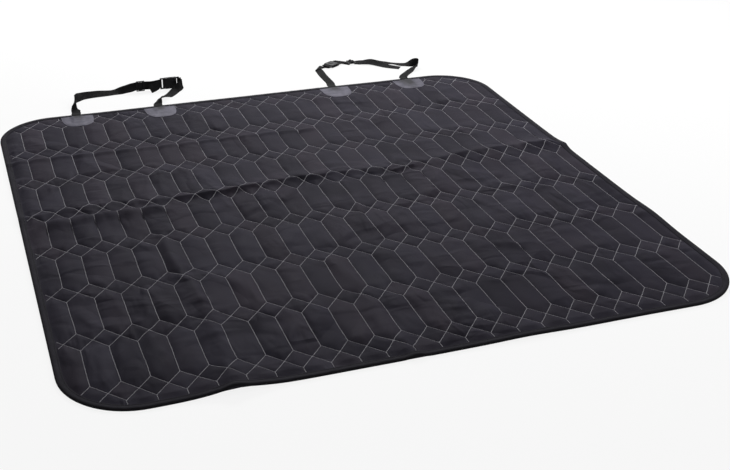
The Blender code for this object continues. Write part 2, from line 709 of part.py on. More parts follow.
def right_loop(parts, cutters, webbing, plastic):
    """Loop that lies flat behind the back edge, buckled near its left end."""
    middle = LOOP_OFFSET
    edge = BACK_EDGE
    inner = middle - PATCH_OFFSET
    outer = middle + PATCH_OFFSET
    stack = 2 * (STACK + WEBBING + TOUCH) + SLIDER_THICKNESS
    slide = hardware_frame(middle + 0.0133, edge + 0.194, 178, 0, SLIDER_WIDTH, stack)
    clasp = hardware_frame(middle - 0.026, edge + 0.207, 212, 0, BUCKLE_WIDTH, BUCKLE_THICKNESS)

    short_way = sewn_end(inner)
    short_way += [
        lying(inner + 0.004, edge + 0.020, 0.0012),
        lying(inner + 0.0095, edge + 0.042),
        lying(inner + 0.0125, edge + 0.074),
        lying(inner + 0.0130, edge + 0.110),
    ]
    short_way += creased(inner + 0.0105, edge + 0.174, 92, 20)
    short_way += bar_wrap(clasp, SOCKET_END - BAR / 2, -1)
    short_way += [held(clasp, SOCKET_END + STUB, STUB_LIFT)]
    strap("right_short_strap", short_way, parts, webbing)

    long_way = sewn_end(outer)
    long_way += [
        lying(outer + 0.005, edge + 0.018, 0.0012),
        lying(outer + 0.016, edge + 0.036, 0.0005, -4),
        lying(outer + 0.042, edge + 0.062, 0.0005, -6),
        lying(outer + 0.066, edge + 0.086, 0.0005, -24),
        lying(outer + 0.086, edge + 0.100, 0.0005, -84),
        lying(outer + 0.078, edge + 0.112, 0.0005, -64),
        lying(outer + 0.050, edge + 0.129, 0.0005, -14),
        lying(outer + 0.020, edge + 0.147, 0.0005, -14),
        lying(outer - 0.010, edge + 0.161, 0.0005, -26),
        lying(outer - 0.044, edge + 0.175, 0.0003, -24),
        lying(outer - 0.072, edge + 0.186, 0.0000, -10),
    ]
    long_way += slider_pass(slide, (STACK, 0.0), 1)
    long_way += bar_wrap(clasp, BAR / 2, 1)
    long_way += slider_pass(slide, (0.0, STACK), -1)
    long_way += [
        lying(middle + 0.044, edge + 0.181, 0.0026, 190),
        lying(middle + 0.072, edge + 0.165, 0.0022, 203),
        lying(middle + 0.103, edge + 0.135, 0.0004, 186),
        lying(middle + 0.142, edge + 0.106, 0.0, 180),
    ]
    strap("right_long_strap", long_way, parts, webbing)

    slider("right_slider", slide, parts, cutters, plastic)
    buckle_prong("right_buckle_prong", clasp, parts, cutters, plastic)
    buckle_socket("right_buckle_socket", clasp, parts, cutters, plastic)


def main():
    clear_scene()
    parts = new_collection("car_seat_cover")
    cutters = new_collection("cutters")

    backing(parts, material("backing cloth", UNDERSIDE, 0.8))
    wadding(parts, material("wadding", PADDING, 0.95))
    face_fabric(parts, material("face fabric", FABRIC, 0.7))
    edge_binding(parts, material("binding tape", HEM, 0.75))

    leatherette = material("leatherette", LEATHERETTE, 0.45)
    for side, sign in (("left", -1), ("right", 1)):
        for place, shift in (("outer", 1), ("inner", -1)):
            x = sign * (LOOP_OFFSET + shift * PATCH_OFFSET)
            anchor_patch(f"{side}_{place}_patch", x, parts, leatherette)

    webbing = material("black webbing", BLACK_WEBBING, 0.7)
    plastic = material("black plastic", BLACK_PLASTIC, 0.35)
    left_loop(parts, cutters, webbing, plastic)
    right_loop(parts, cutters, webbing, plastic)


main()
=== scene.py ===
"""Looks of a quilted car seat cover that lies flat, with two buckled headrest loops at its back edge.

Metres, +Z up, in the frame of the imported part. Every piece rides on its one body.
"""
import json
import math

import bmesh
import bpy
import numpy as np
from bpy.props import FloatProperty, FloatVectorProperty, PointerProperty
from bpy.types import Operator, Panel, PropertyGroup
from mathutils import Matrix, Vector, noise

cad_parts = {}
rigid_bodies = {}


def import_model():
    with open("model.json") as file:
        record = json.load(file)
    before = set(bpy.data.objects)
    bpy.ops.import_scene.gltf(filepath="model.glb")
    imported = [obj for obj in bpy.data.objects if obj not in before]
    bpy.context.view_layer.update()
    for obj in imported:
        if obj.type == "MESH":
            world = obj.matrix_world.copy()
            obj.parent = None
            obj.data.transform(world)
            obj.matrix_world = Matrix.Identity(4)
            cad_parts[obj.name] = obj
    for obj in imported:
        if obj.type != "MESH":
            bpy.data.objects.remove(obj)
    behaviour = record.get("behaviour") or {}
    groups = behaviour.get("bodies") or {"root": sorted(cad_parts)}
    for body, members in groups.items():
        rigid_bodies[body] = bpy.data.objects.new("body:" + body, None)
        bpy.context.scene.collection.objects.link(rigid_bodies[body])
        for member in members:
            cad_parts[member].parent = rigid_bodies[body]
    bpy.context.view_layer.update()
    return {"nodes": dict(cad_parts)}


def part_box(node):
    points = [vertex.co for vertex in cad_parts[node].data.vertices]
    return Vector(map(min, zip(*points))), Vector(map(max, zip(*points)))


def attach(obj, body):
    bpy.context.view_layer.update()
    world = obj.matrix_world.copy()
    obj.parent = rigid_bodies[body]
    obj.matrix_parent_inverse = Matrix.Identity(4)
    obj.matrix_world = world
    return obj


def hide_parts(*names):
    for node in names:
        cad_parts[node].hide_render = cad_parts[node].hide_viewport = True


bl_info = {
    "name": "Quilted seat cover looks",
    "version": (1, 0, 0),
    "blender": (4, 5, 0),
    "location": "3D View > Sidebar > Seat cover",
    "description": "Dresses the frame of a quilted car seat cover with cloth, webbing and plastic",
    "category": "Object",
}

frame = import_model()

# Panel
PANEL_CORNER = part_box("edge_binding")[1]
HALF_WIDTH = PANEL_CORNER.x
HALF_DEPTH = PANEL_CORNER.y
BACK_EDGE = HALF_DEPTH
CORNER_RADIUS = 0.145
CORNER_STEPS = 18
BINDING_WIDTH = 0.015
LAYER_END = 0.0012

# Layers, from the floor up
BACKING_TOP = 0.0017
FACE_BOTTOM = 0.0023
STITCH_LEVEL = 0.0037

# Padding: how far in from the stitching it rises, how full a diamond is beside a hexagon, and its small
# wrinkles. It is held down beside the binding, and pressed flat under a patch, in shares of the patch
HEXAGON_REACH, DIAMOND_REACH = 0.024, 0.017
DIAMOND_FULLNESS = 0.62
LEAST_FULL, FULLNESS_RANGE = 0.8, 0.4
PUFF_ROUNDNESS = 2.3
WRINKLE_HEIGHT = 0.0010
WRINKLE_REACH = 0.008
WRINKLE_LEVEL = 0.35
WRINKLE_SLANT = 0.25
HELD_START = 0.001
HELD_REACH = 0.016
PRESSED_START = 1.01
PRESSED_REACH = 0.12
PRESSED_SHARE = 0.12

# Stitch lattice: long hexagons in rows, with a row of diamonds between them
COLUMN_PITCH = 0.054
LONG_SIDE = 0.126
DIAMOND_DEPTH = 0.063
ROW_PITCH = LONG_SIDE + DIAMOND_DEPTH
FIRST_COLUMN = 0.056 - HALF_WIDTH
FIRST_ROW = 0.034 - HALF_DEPTH
HEXAGON_RINGS = (0.0007, 0.0018, 0.0040, 0.0075, 0.0120, 0.0170, 0.0220)
DIAMOND_RINGS = (0.0007, 0.0018, 0.0040, 0.0075, 0.0125)
LONG_CUTS = 11
SLANT_CUTS = 3

# Fold that the packing left across the panel: x, y and height of its crest, and its near width
FOLD = (
    (-0.700, 0.096, 0.005, 0.016), (-0.640, 0.098, 0.006, 0.016), (-0.591, 0.106, 0.008, 0.018),
    (-0.500, 0.114, 0.007, 0.018), (-0.397, 0.104, 0.006, 0.014), (-0.303, 0.095, 0.009, 0.012),
    (-0.193, 0.096, 0.012, 0.012), (-0.122, 0.107, 0.011, 0.013), (-0.024, 0.110, 0.010, 0.014),
    (0.093, 0.110, 0.008, 0.014), (0.170, 0.108, 0.009, 0.016), (0.236, 0.103, 0.006, 0.018),
    (0.325, 0.113, 0.008, 0.026), (0.447, 0.126, 0.011, 0.038), (0.533, 0.128, 0.011, 0.040),
    (0.600, 0.131, 0.012, 0.038), (0.649, 0.127, 0.012, 0.030), (0.700, 0.103, 0.010, 0.018),
)
FOLD_FAR_WIDTH = 0.034
FOLD_WANDER = 0.0035
FOLD_MEAN, FOLD_VARIES = 0.9, 0.35
FOLD_SHARPNESS = 1.35
WAVE_HEIGHT = 0.0012
WAVE_LEVEL = 0.35

# Soft creases: their height, half width and points
CREASES = (
    (0.0052, 0.014, ((-0.410, -0.090), (-0.404, -0.246), (-0.395, -0.304), (-0.388, -0.402))),
    (0.0050, 0.020, ((-0.388, -0.402), (-0.384, -0.540), (-0.400, -0.705), (-0.402, -0.725))),
    (0.0042, 0.012, ((0.066, 0.060), (0.064, 0.037), (0.056, -0.085), (0.040, -0.160))),
    (0.0036, 0.015, ((-0.094, -0.298), (-0.066, -0.428), (-0.070, -0.638), (-0.052, -0.725))),
    (0.0036, 0.010, ((-0.690, 0.424), (-0.560, 0.430), (-0.300, 0.418), (-0.050, 0.422), (0.10, 0.416))),
    (0.0080, 0.018, ((-0.640, 0.044), (-0.470, 0.058), (-0.385, 0.050))),
    (0.0022, 0.010, ((0.120, 0.076), (0.200, 0.060), (0.300, 0.070))),
    (0.0024, 0.012, ((0.420, -0.060), (0.470, -0.100), (0.540, -0.118))),
    (0.0026, 0.014, ((-0.560, -0.330), (-0.520, -0.470), (-0.505, -0.560))),
    (0.0022, 0.013, ((0.230, -0.330), (0.290, -0.360), (0.330, -0.372))),
    (0.0050, 0.007, ((0.212, 0.086), (0.262, 0.098))),
)
# Places where the whole cover stands off the floor: height, middle x and y, half width and half depth
LIFTS = (
    (0.0075, -0.395, -0.725, 0.060, 0.080),
    (0.0030, 0.180, -0.725, 0.090, 0.060),
    (0.0040, 0.700, -0.330, 0.050, 0.070),
)
SEED = 11
PULL = 0.0022
PULL_EASE = 0.06
PULL_FINE = 0.45

# Unevenness of the cloth: how fast it changes along x and y, and which layer of noise it takes
FOLD_LINE_NOISE = (24.0, 2.0, 41.0)
FOLD_HEIGHT_NOISE = (30.0, 2.0, 43.0)
WAVE_NOISE = (5.0, 3.5, 3.0)
WRINKLE_NOISE = (22.0, 46.0, 7.0)
WRINKLE_PLACES = (7.0, 7.0, 9.0)
PULL_X_NOISE = (7.0, 7.0, 21.0), (24.0, 18.0, 25.0)
PULL_Y_NOISE = (7.0, 7.0, 31.0), (18.0, 24.0, 35.0)
PATCH_NOISE = (45.0, 60.0, 5.0)
TILE_FULLNESS, TILE_TONE, TILE_WARMTH = 1, 2, 4

# Mesh steps: the grid under the cloth, and the finer bands along the fold and the rearmost crease
GRID_STEP = 0.028
FOLD_BAND = (0.070, 0.165)
FOLD_STEP = 0.0036
CREASE_BAND = (0.400, 0.442)
CREASE_STEP = 0.0060
RIM_STEP = 0.006
BELOW = -1.0

# Stitches: how far the quilting drifts, and the seams' stitch lengths and pitch
THREAD_DRIFT = 0.00012
BINDING_STITCH = 0.0031
PATCH_STITCH = 0.0030
SEAM_PITCH = 0.0036

# Thread: how much of its pitch a quilting stitch fills, and then, as shares of the thread's width, how
# thick it is, how high it lies, and the width and height of the stitches in the seams
STITCH_FILL = 0.98
THREAD_HEIGHT = 0.65
THREAD_LIFT = 0.22
BINDING_THREAD = (0.7, 0.6)
PATCH_THREAD = (0.75, 0.6)

# Binding: inset from the edge, height, how much it puckers and how much painted shade darkens it, round its
# section
TAPE_RISE = 0.0009
BINDING_SEAM = 0.0124
BINDING_SEAM_LEVEL = 0.0051
BINDING_WANDER = 0.0006
WANDER_NOISE = (25.0, 9.0)
PUCKER_NOISE = (90.0, 0.5)
FINE_PUCKER_NOISE = (210.0, 4.0)
FINE_PUCKER = 0.6
BINDING_SECTION = (
    (0.0150, 0.0000, 0.0, 0.0), (0.0012, 0.0000, 0.0, 0.6), (0.0003, 0.0007, 0.0, 1.0),
    (0.0000, 0.0022, 0.0, 1.0), (0.0003, 0.0038, 0.0, 1.0), (0.0012, 0.0049, 0.0001, 0.9),
    (0.0030, 0.0056, 0.0003, 0.45), (0.0058, 0.0057, 0.0004, 0.05), (0.0090, 0.0054, 0.0004, 0.0),
    (0.0112, 0.0050, 0.0002, 0.0), (0.0124, 0.0047, 0.0, 0.0), (0.0136, 0.0049, 0.0001, 0.0),
    (0.0147, 0.0048, 0.0002, 0.0), (0.0150, 0.0044, 0.0, 0.3), (0.0150, 0.0039, 0.0, 0.6),
    (0.0011, 0.0039, 0.0, 0.0), (0.0009, 0.0009, 0.0, 0.0), (0.0150, 0.0006, 0.0, 0.0),
)

# Anchor patches: their outline is a rounded square's lower half, the rings in it shrink towards a middle
# that lies at a share of the depth, and the seam's stitches stand towards one of their own
PATCH_HALF = 0.0428
PATCH_DEPTH = 0.0745
PATCH_POWER = 3.1
PATCH_THICKNESS = 0.0009
PATCH_STEPS = 44
PATCH_BACK_STEPS = 20
PATCH_SEAM = 0.0035
PATCH_REST = 0.0045
PATCH_REACH = 0.0390
PATCH_RINGS = (0.0010, 0.0026, 0.0035, 0.0044, 0.0070, 0.0100, 0.0130, 0.0165, 0.0200, 0.0240, 0.0280,
               0.0320)
PATCH_MIDDLE = 0.45
SEAM_MIDDLE = 0.42
SEAM_INSET = 1.25
SEAM_STANDS = 0.0001
SEAM_DIP = 0.0003
SEAM_DIP_WIDTH = 0.0012
PATCH_LOOSE = 0.0006
LOOSE_REACH = 0.006
PATCH_RUMPLE = 0.0004
RUMPLE_REACH = 0.012
PATCH_OVER_STRAP = 0.0004
STRAP_SHOULDER = 0.007
PATCH_ROUNDING = 0.35

# How far the painted shade round the strap reaches across and along a patch
PATCH_SHADE_REACH = (0.016, 0.030)
PATCH_SHADE_REACHES = {"right_outer_patch": (0.024, 0.065)}

# Sewn strap ends: how high they lie under the patch and over the binding
SEWN_LENGTH = 0.045
SEWN_REST = 0.0054
SEWN_OVER = 0.0062
SEWN_DROP = 0.0006
SEWN_RISE_START = 0.004

# Webbing: its section is drawn as width and thickness shares
WEBBING_WIDTH = 0.025
WEBBING = 0.0012
WEBBING_STEPS = 9
WEBBING_SECTION = (
    (1.0, 0.0), (0.985, 0.7), (0.955, 1.0), (0.90, 1.0), (0.85, 0.80), (0.45, 0.84), (0.0, 0.86),
    (-0.45, 0.84), (-0.85, 0.80), (-0.90, 1.0), (-0.955, 1.0), (-0.985, 0.7), (-1.0, 0.0),
    (-0.985, -0.7), (-0.955, -1.0), (-0.90, -1.0), (-0.85, -0.80), (-0.45, -0.84), (0.0, -0.86),
    (0.45, -0.84), (0.85, -0.80), (0.90, -1.0), (0.955, -1.0), (0.985, -0.7),
)
WRAP_STEPS = 4
CREASE_STEPS = 8
TOUCH = 0.0003
STACK = 0.0022
STUB = 0.006
STUB_LIFT = 0.0032
SOCKET_SLACK = 0.0014
LOOP_OFFSET = 0.372
PATCH_OFFSET = 0.114

# Slider and side-release buckle, as in the frame
SLIDER_BAR = 0.003
SLIDER_SLOT = 0.007
SLIDER_CENTRE = 0.004
SLIDER_RAIL = 0.0025
SLIDER_THICKNESS = 0.002
SIDE_PLAY = 0.0005
SLIDER_WIDTH = WEBBING_WIDTH + 2 * SIDE_PLAY + 2 * SLIDER_RAIL
BUCKLE_WIDTH = 0.033
BUCKLE_THICKNESS = 0.009
BAR = 0.0035
BAR_THICKNESS = 0.003
BAR_SLOT = 0.0045
SOCKET_START = BAR + BAR_SLOT + 0.006 + TOUCH
SOCKET_BODY = 0.031
SOCKET_END = SOCKET_START + SOCKET_BODY + 0.003 + BAR_SLOT + BAR
GRIP_RIB = (0.0011, 0.015, 0.0009)
GRIP_RIB_ROUNDING = 0.0003
GRIP_START = 0.018
GRIP_PITCH = 0.0026
GRIP_RIBS = 4
ROUNDINGS = (("slider", 0.0002), ("buckle_prong", 0.0005), ("buckle_socket", 0.0002))

# Buckles: side, x and y of the place where the strap enters, heading and tilt
CLASPS = (
    ("left", -LOOP_OFFSET + 0.149, BACK_EDGE + 0.146, -1, 90),
    ("right", LOOP_OFFSET - 0.026, BACK_EDGE + 0.207, 212, 0),
)
# Sliders: x from the middle of the loop, y from the back edge, heading and tilt
LEFT_SLIDER = (0.091, 0.146, 0, 90)
RIGHT_SLIDER = (0.0133, 0.194, 178, 0)

# Where each strap lies: x from its patch or its loop's middle, y from the back edge, how far its lower
# side is off the floor, and its tilt in degrees
LEFT_LONG = (
    (0.003, 0.018, 0.0012, 3), (0.004, 0.036, 0.0018, 8), (0.009, 0.053, 0.0005, 85),
    (0.006, 0.076, 0.0005, 130), (0.013, 0.104, 0.0005, 82), (0.036, 0.132, 0.0005, 40),
    (0.077, 0.141, 0.0005, 30), (0.124, 0.146, 0.0005, 17), (0.158, 0.147, 0.0005, 44),
)
LEFT_BEFORE_BUCKLE = ((0.125, 0.145, 0.0028, 90),)
LEFT_TAIL = ((0.139, 0.138, 0.0010, 95), (0.124, 0.130, 0.0002, 118), (0.115, 0.125, 0.0002, 126))
LEFT_SHORT = (
    (0.003, 0.018, 0.0012, -12), (0.011, 0.040, 0.0005, -45), (0.026, 0.060, 0.0005, -20),
    (0.047, 0.078, 0.0005, 5), (0.072, 0.109, 0.0005, 18), (0.092, 0.127, 0.0010, 62),
    (0.0985, 0.1365, 0.0030, 84),
)
RIGHT_SHORT = ((0.004, 0.020, 0.0012), (0.0085, 0.042), (0.0085, 0.074), (0.0085, 0.110))
RIGHT_SHORT_CREASE = (0.0105, 0.174, 92, 20)
RIGHT_LONG = (
    (0.005, 0.018, 0.0012), (0.016, 0.036, 0.0005, -4), (0.042, 0.062, 0.0005, -6),
    (0.066, 0.086, 0.0005, -24), (0.086, 0.100, 0.0005, -84), (0.078, 0.112, 0.0005, -64),
    (0.050, 0.129, 0.0005, -4), (0.020, 0.147, 0.0005, 8), (-0.010, 0.161, 0.0005, -8),
    (-0.044, 0.175, 0.0003, -24), (-0.072, 0.186, 0.0000, -10),
)
RIGHT_TAIL = (
    (0.044, 0.181, 0.0026, 190), (0.072, 0.165, 0.0022, 203), (0.103, 0.135, 0.0004, 186),
    (0.142, 0.106, 0.0, 180),
)

# Relief of the finishes: periods of the weaves, ribs and ply, and how deep each pattern goes
CLOTH_WEAVE, CLOTH_RELIEF = 0.0009, 0.00012
CROSS_WRINKLES, LONG_WRINKLES = 0.0060, 0.0100
BACKING_WEAVE, BACKING_RELIEF, BACKING_WAVES = 0.0012, 0.00012, 0.0006
TAPE_RIBS, TAPE_RELIEF, TAPE_WAVES = 0.0008, 0.0001, 0.0008
PEBBLE_RELIEF, LEATHERETTE_WAVES = 0.00022, 0.0006
WEBBING_RIBS, WEBBING_YARNS, WEBBING_RELIEF = 0.0017, 0.0011, 0.00035
PLASTIC_RELIEF = 0.00004
THREAD_PLY, THREAD_RELIEF = 0.0006, 0.0002

# Stage: the camera stands where the photograph was taken; each lamp has its place, aim, size and power
FLOOR_SIZE = 7.0
FLOOR_TONES = (0.86, 0.86, 0.86), (0.90, 0.90, 0.90)
FLOOR_WHITE = 0.86
CAMERA_PLACE = (-0.8009, -2.4737, 1.2174)
CAMERA_TURN = (63.183, -0.65, -19.747)
CAMERA_LENS = 59.36
SOFTBOXES = (
    ("back softbox", (0.6, 2.4, 1.5), (0.0, 0.0, 0.0), (2.0, 0.7), 68.0),
    ("side softbox", (2.2, 0.0, 1.5), (0.3, 0.0, 0.0), (1.0, 0.8), 20.0),
)


def ease(value):
    """Turns a share from 0 to 1 into one that starts and ends gently."""
    value = np.clip(value, 0.0, 1.0)
    return value * value * (3 - 2 * value)


def smooth_between(x, xs, values):
    """Values at x, eased between the given places."""
    xs, values = np.asarray(xs), np.asarray(values)
    i = np.clip(np.searchsorted(xs, x) - 1, 0, len(xs) - 2)
    t = ease((x - xs[i]) / (xs[i + 1] - xs[i]))
    return values[i] * (1 - t) + values[i + 1] * t


def segment_distance(x, y, start, end):
    """Distance of each point to the segment between two places."""
    ax, ay = start
    dx, dy = end[0] - ax, end[1] - ay
    t = np.clip(((x - ax) * dx + (y - ay) * dy) / (dx * dx + dy * dy), 0.0, 1.0)
    return np.hypot(x - ax - t * dx, y - ay - t * dy)


def noise_at(x, y, scale_x, scale_y, layer=0.0):
    """Smooth noise from -1 to 1 at each point, with its own scale along each axis."""
    return np.array([noise.noise((a * scale_x, b * scale_y, layer)) for a, b in zip(x, y)])


def noise_along(line, rate, layer):
    """Smooth noise from -1 to 1 along a line."""
    return np.array([noise.noise((spot * rate, layer, 0.0)) for spot in line])


def ground(x, y, creases=True):
    """How far the cloth stands off the floor: the fold, slow waves and, on the upper cloth, creases."""
    xs, ys, heights, widths = zip(*FOLD)
    off = y - smooth_between(x, xs, ys) - FOLD_WANDER * noise_at(x, y, *FOLD_LINE_NOISE)
    width = np.where(off < 0, smooth_between(x, xs, widths), FOLD_FAR_WIDTH)
    scale = bpy.context.scene.cover_sizes.fold_scale
    height = smooth_between(x, xs, heights) * (FOLD_MEAN + FOLD_VARIES * noise_at(x, y, *FOLD_HEIGHT_NOISE))
    lift = scale * height * np.exp(-np.abs(off / width) ** FOLD_SHARPNESS)
    for height, half_width, points in CREASES if creases else ():
        near = np.full(len(x), np.inf)
        for start, end in zip(points, points[1:]):
            near = np.minimum(near, segment_distance(x, y, start, end))
        lift = lift + height * np.exp(-(near / half_width) ** 2)
    for height, middle_x, middle_y, wide, deep in LIFTS:
        lift = lift + height * np.exp(-((x - middle_x) / wide) ** 2 - ((y - middle_y) / deep) ** 2)
    waves = noise_at(x, y, *WAVE_NOISE) + WAVE_LEVEL
    return lift + WAVE_HEIGHT * np.clip(waves, 0.0, 1.0)


def edge_distance(x, y):
    """How far each point lies inside the panel's rounded outline."""
    dx = np.abs(x) - (HALF_WIDTH - CORNER_RADIUS)
    dy = np.abs(y) - (HALF_DEPTH - CORNER_RADIUS)
    beyond = np.hypot(np.maximum(dx, 0), np.maximum(dy, 0)) + np.minimum(np.maximum(dx, dy), 0)
    return CORNER_RADIUS - beyond


def lattice_place(x, y):
    """Each point's place in its lattice cell: distance from the column, height above the row."""
    across = (x - FIRST_COLUMN + COLUMN_PITCH / 2) % COLUMN_PITCH - COLUMN_PITCH / 2
    return np.abs(across), (y - FIRST_ROW) % ROW_PITCH


def stitch_distance(x, y):
    """Distance of each point to the nearest line of quilting."""
    u, v = lattice_place(x, y)
    half, rise, low = COLUMN_PITCH / 2, DIAMOND_DEPTH / 2, DIAMOND_DEPTH
    lines = (((0, low), (0, ROW_PITCH)), ((0, 0), (half, rise)), ((half, rise), (0, low)),
             ((half, rise), (2 * half, 0)), ((half, rise), (2 * half, low)))
    near = np.full(len(x), np.inf)
    for shift in (-ROW_PITCH, 0.0, ROW_PITCH):
        for start, end in lines:
            near = np.minimum(near, segment_distance(u, v + shift, start, end))
    return near


def pulled(x, y):
    """Where the cloth's points end up once the quilting has drawn it in a little unevenly."""
    free = ease((edge_distance(x, y) - BINDING_WIDTH) / PULL_EASE) * PULL
    shift_x, shift_y = (noise_at(x, y, *broad) + PULL_FINE * noise_at(x, y, *fine)
                        for broad, fine in (PULL_X_NOISE, PULL_Y_NOISE))
    return x + free * shift_x, y + free * shift_y


def tile_of(x, y):
    """Numbers of the tile under each point: its column, its row, and whether it is a diamond."""
    u, v = lattice_place(x, y)
    diamond = u / (COLUMN_PITCH / 2) + np.abs(v - DIAMOND_DEPTH / 2) / (DIAMOND_DEPTH / 2) < 1.0
    row = np.floor((y - FIRST_ROW) / ROW_PITCH).astype(int)
    row = np.where(~diamond & (v < DIAMOND_DEPTH / 2), row - 1, row)
    column = np.where(diamond, np.round((x - FIRST_COLUMN) / COLUMN_PITCH),
                      np.floor((x - FIRST_COLUMN) / COLUMN_PITCH)).astype(int)
    return column, row, diamond


def tile_random(x, y, layer):
    """One even random number from 0 to 1 for each tile."""
    column, row, diamond = tile_of(x, y)
    table = np.random.default_rng(SEED + layer).random((2, 40, 16))
    return table[diamond.astype(int), (column + 5) % 40, (row + 3) % 16]


def patch_places():
    """Each anchor patch's name and the middle of its back edge."""
    places = []
    for side in ("left", "right"):
        for place in ("outer", "inner"):
            low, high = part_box(f"{side}_{place}_patch")
            places.append((f"{side}_{place}_patch", (low.x + high.x) / 2, high.y))
    return places


PATCHES = patch_places()


def patch_radius(x, y):
    """1 on the outline of the nearest patch, less inside it."""
    nearest = np.full(len(x), np.inf)
    for _, middle, back in PATCHES:
        u = np.abs(x - middle) / PATCH_HALF
        v = np.maximum(back - y, 0) / PATCH_DEPTH
        nearest = np.minimum(nearest, (u ** PATCH_POWER + v ** PATCH_POWER) ** (1 / PATCH_POWER))
    return nearest


def quilted_height(x, y):
    """How high the quilted face stands above the ground at each point."""
    near = stitch_distance(x, y)
    diamond = tile_of(x, y)[2]
    reach = np.where(diamond, DIAMOND_REACH, HEXAGON_REACH)
    own = LEAST_FULL + FULLNESS_RANGE * tile_random(x, y, TILE_FULLNESS)
    fullness = np.where(diamond, DIAMOND_FULLNESS, 1.0) * own
    rise = 1 - (1 - np.clip(near / reach, 0, 1)) ** PUFF_ROUNDNESS
    puff = bpy.context.scene.cover_sizes.puff_height * fullness * rise
    fine = noise_at(x + WRINKLE_SLANT * y, y, *WRINKLE_NOISE)
    amount = np.clip(noise_at(x, y, *WRINKLE_PLACES) + WRINKLE_LEVEL, 0.0, 1.0)
    puff = puff + WRINKLE_HEIGHT * amount * fine * np.clip(near / WRINKLE_REACH, 0, 1)
    free = ease((edge_distance(x, y) - BINDING_WIDTH + HELD_START) / HELD_REACH)
    beside_patch = np.clip((patch_radius(x, y) - PRESSED_START) / PRESSED_REACH, PRESSED_SHARE, 1)
    return STITCH_LEVEL + np.maximum(puff * free * beside_patch, 0.0)


def outline(inset):
    """The panel's rounded outline, inset metres inside its edge, anticlockwise."""
    points = []
    for quarter, (sx, sy) in enumerate(((1, 1), (-1, 1), (-1, -1), (1, -1))):
        centre = Vector((sx * (HALF_WIDTH - CORNER_RADIUS), sy * (HALF_DEPTH - CORNER_RADIUS)))
        for step in range(CORNER_STEPS + 1):
            angle = math.pi / 2 * (quarter + step / CORNER_STEPS)
            points.append(centre + (CORNER_RADIUS - inset) * Vector((math.cos(angle), math.sin(angle))))
    return points


def trim(bm, points, corners):
    """Cuts a flat tile back to a convex outline that some of its corners lie beyond."""
    for start, end in zip(points, points[1:] + points[:1]):
        outer = Vector((end.y - start.y, start.x - end.x))
        if outer.length > 1e-6 and any((corner - start).dot(outer) > 0 for corner in corners):
            cut(bm, bm.verts[:] + bm.edges[:] + bm.faces[:], start.to_3d(), outer.to_3d(), clear_outer=True)


def cut(bm, geometry, point, normal, **clear):
    """Splits the geometry by a plane, and gives back what it became."""
    return bmesh.ops.bisect_plane(bm, geom=geometry, dist=1e-7, plane_co=point, plane_no=normal,
                                  **clear)["geom"]


def sliced(bm, geometry, axis, places):
    """Splits the geometry by planes across an axis, 0 for X and 1 for Y."""
    way = [float(axis == index) for index in range(3)]
    for spot in places:
        geometry = cut(bm, geometry, [spot * share for share in way], way)
    return geometry


def columns_of(verts):
    """The x, y and z of points as arrays."""
    return np.array([vert.co[:] for vert in verts]).T


def move_to(verts, x, y, z):
    """Puts points at new places."""
    for vert, *spot in zip(verts, x, y, z):
        vert.co = spot


def set_heights(verts, heights):
    """Puts points at new heights."""
    for vert, height in zip(verts, heights):
        vert.co.z = height


def points_in(items):
    """The points in an operator's result."""
    return [item for item in items if isinstance(item, bmesh.types.BMVert)]


def edges_in(items):
    """The edges in an operator's result."""
    return [item for item in items if isinstance(item, bmesh.types.BMEdge)]


def faces_in_band(items, band):
    """The faces in an operator's result whose middles lie between two places along Y."""
    faces = (item for item in items if isinstance(item, bmesh.types.BMFace))
    return [face for face in faces if band[0] < face.calc_center_median().y < band[1]]


def closed_loop(bm, layer, spots):
    """A ring of points and edges; each point keeps its number in the layer."""
    verts = [bm.verts.new(spot) for spot in spots]
    for index, vert in enumerate(verts):
        vert[layer] = index
    return verts, [bm.edges.new((vert, verts[(i + 1) % len(verts)])) for i, vert in enumerate(verts)]


def next_loop(bm, loop):
    """Extrudes a ring of edges once, and gives back its new points and edges."""
    made = bmesh.ops.extrude_edge_only(bm, edges=loop)["geom"]
    verts = points_in(made)
    members = set(verts)
    return verts, [edge for edge in edges_in(made) if members.issuperset(edge.verts)]


def as_mesh(bm, name):
    """Turns a bmesh into a mesh."""
    mesh = bpy.data.meshes.new(name)
    bm.to_mesh(mesh)
    bm.free()
    return mesh


def bake(name, bm, finish, smooth=True):
    """Makes an object at the origin of a bmesh, with its faces outwards."""
    bmesh.ops.recalc_face_normals(bm, faces=bm.faces)
    mesh = as_mesh(bm, name)
    mesh.materials.append(finish)
    if smooth:
        mesh.shade_smooth()
    made = bpy.data.objects.new(name, mesh)
    bpy.context.scene.collection.objects.link(made)
    return made


def place(made, slot, *nodes):
    """Puts a finished piece on the root body, and hides the frame parts that it stands for; the slot is not
    used.
    """
    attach(made, "root")
    if nodes:
        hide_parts(*nodes)
    return made


def round_edges(made, name, width, angle, harden=False):
    """Rounds a piece's edges that are sharper than an angle."""
    rounded = made.modifiers.new(name, "BEVEL")
    rounded.width = width
    rounded.segments = 2
    rounded.limit_method = "ANGLE"
    rounded.angle_limit = math.radians(angle)
    rounded.harden_normals = harden


def with_parts(faces):
    """A list of faces with the points and edges that they use."""
    faces = list(faces)
    return list(dict.fromkeys(item for face in faces for item in (*face.verts, *face.edges))) + faces


# Finishes

def new_finish(name, roughness, **sockets):
    """A material with its node tree and its main shader."""
    made = bpy.data.materials.new(name)
    made.use_nodes = True
    shader = made.node_tree.nodes["Principled BSDF"]
    shader.inputs["Roughness"].default_value = roughness
    for socket, value in sockets.items():
        shader.inputs[socket.replace("_", " ")].default_value = value
    return made, made.node_tree, shader


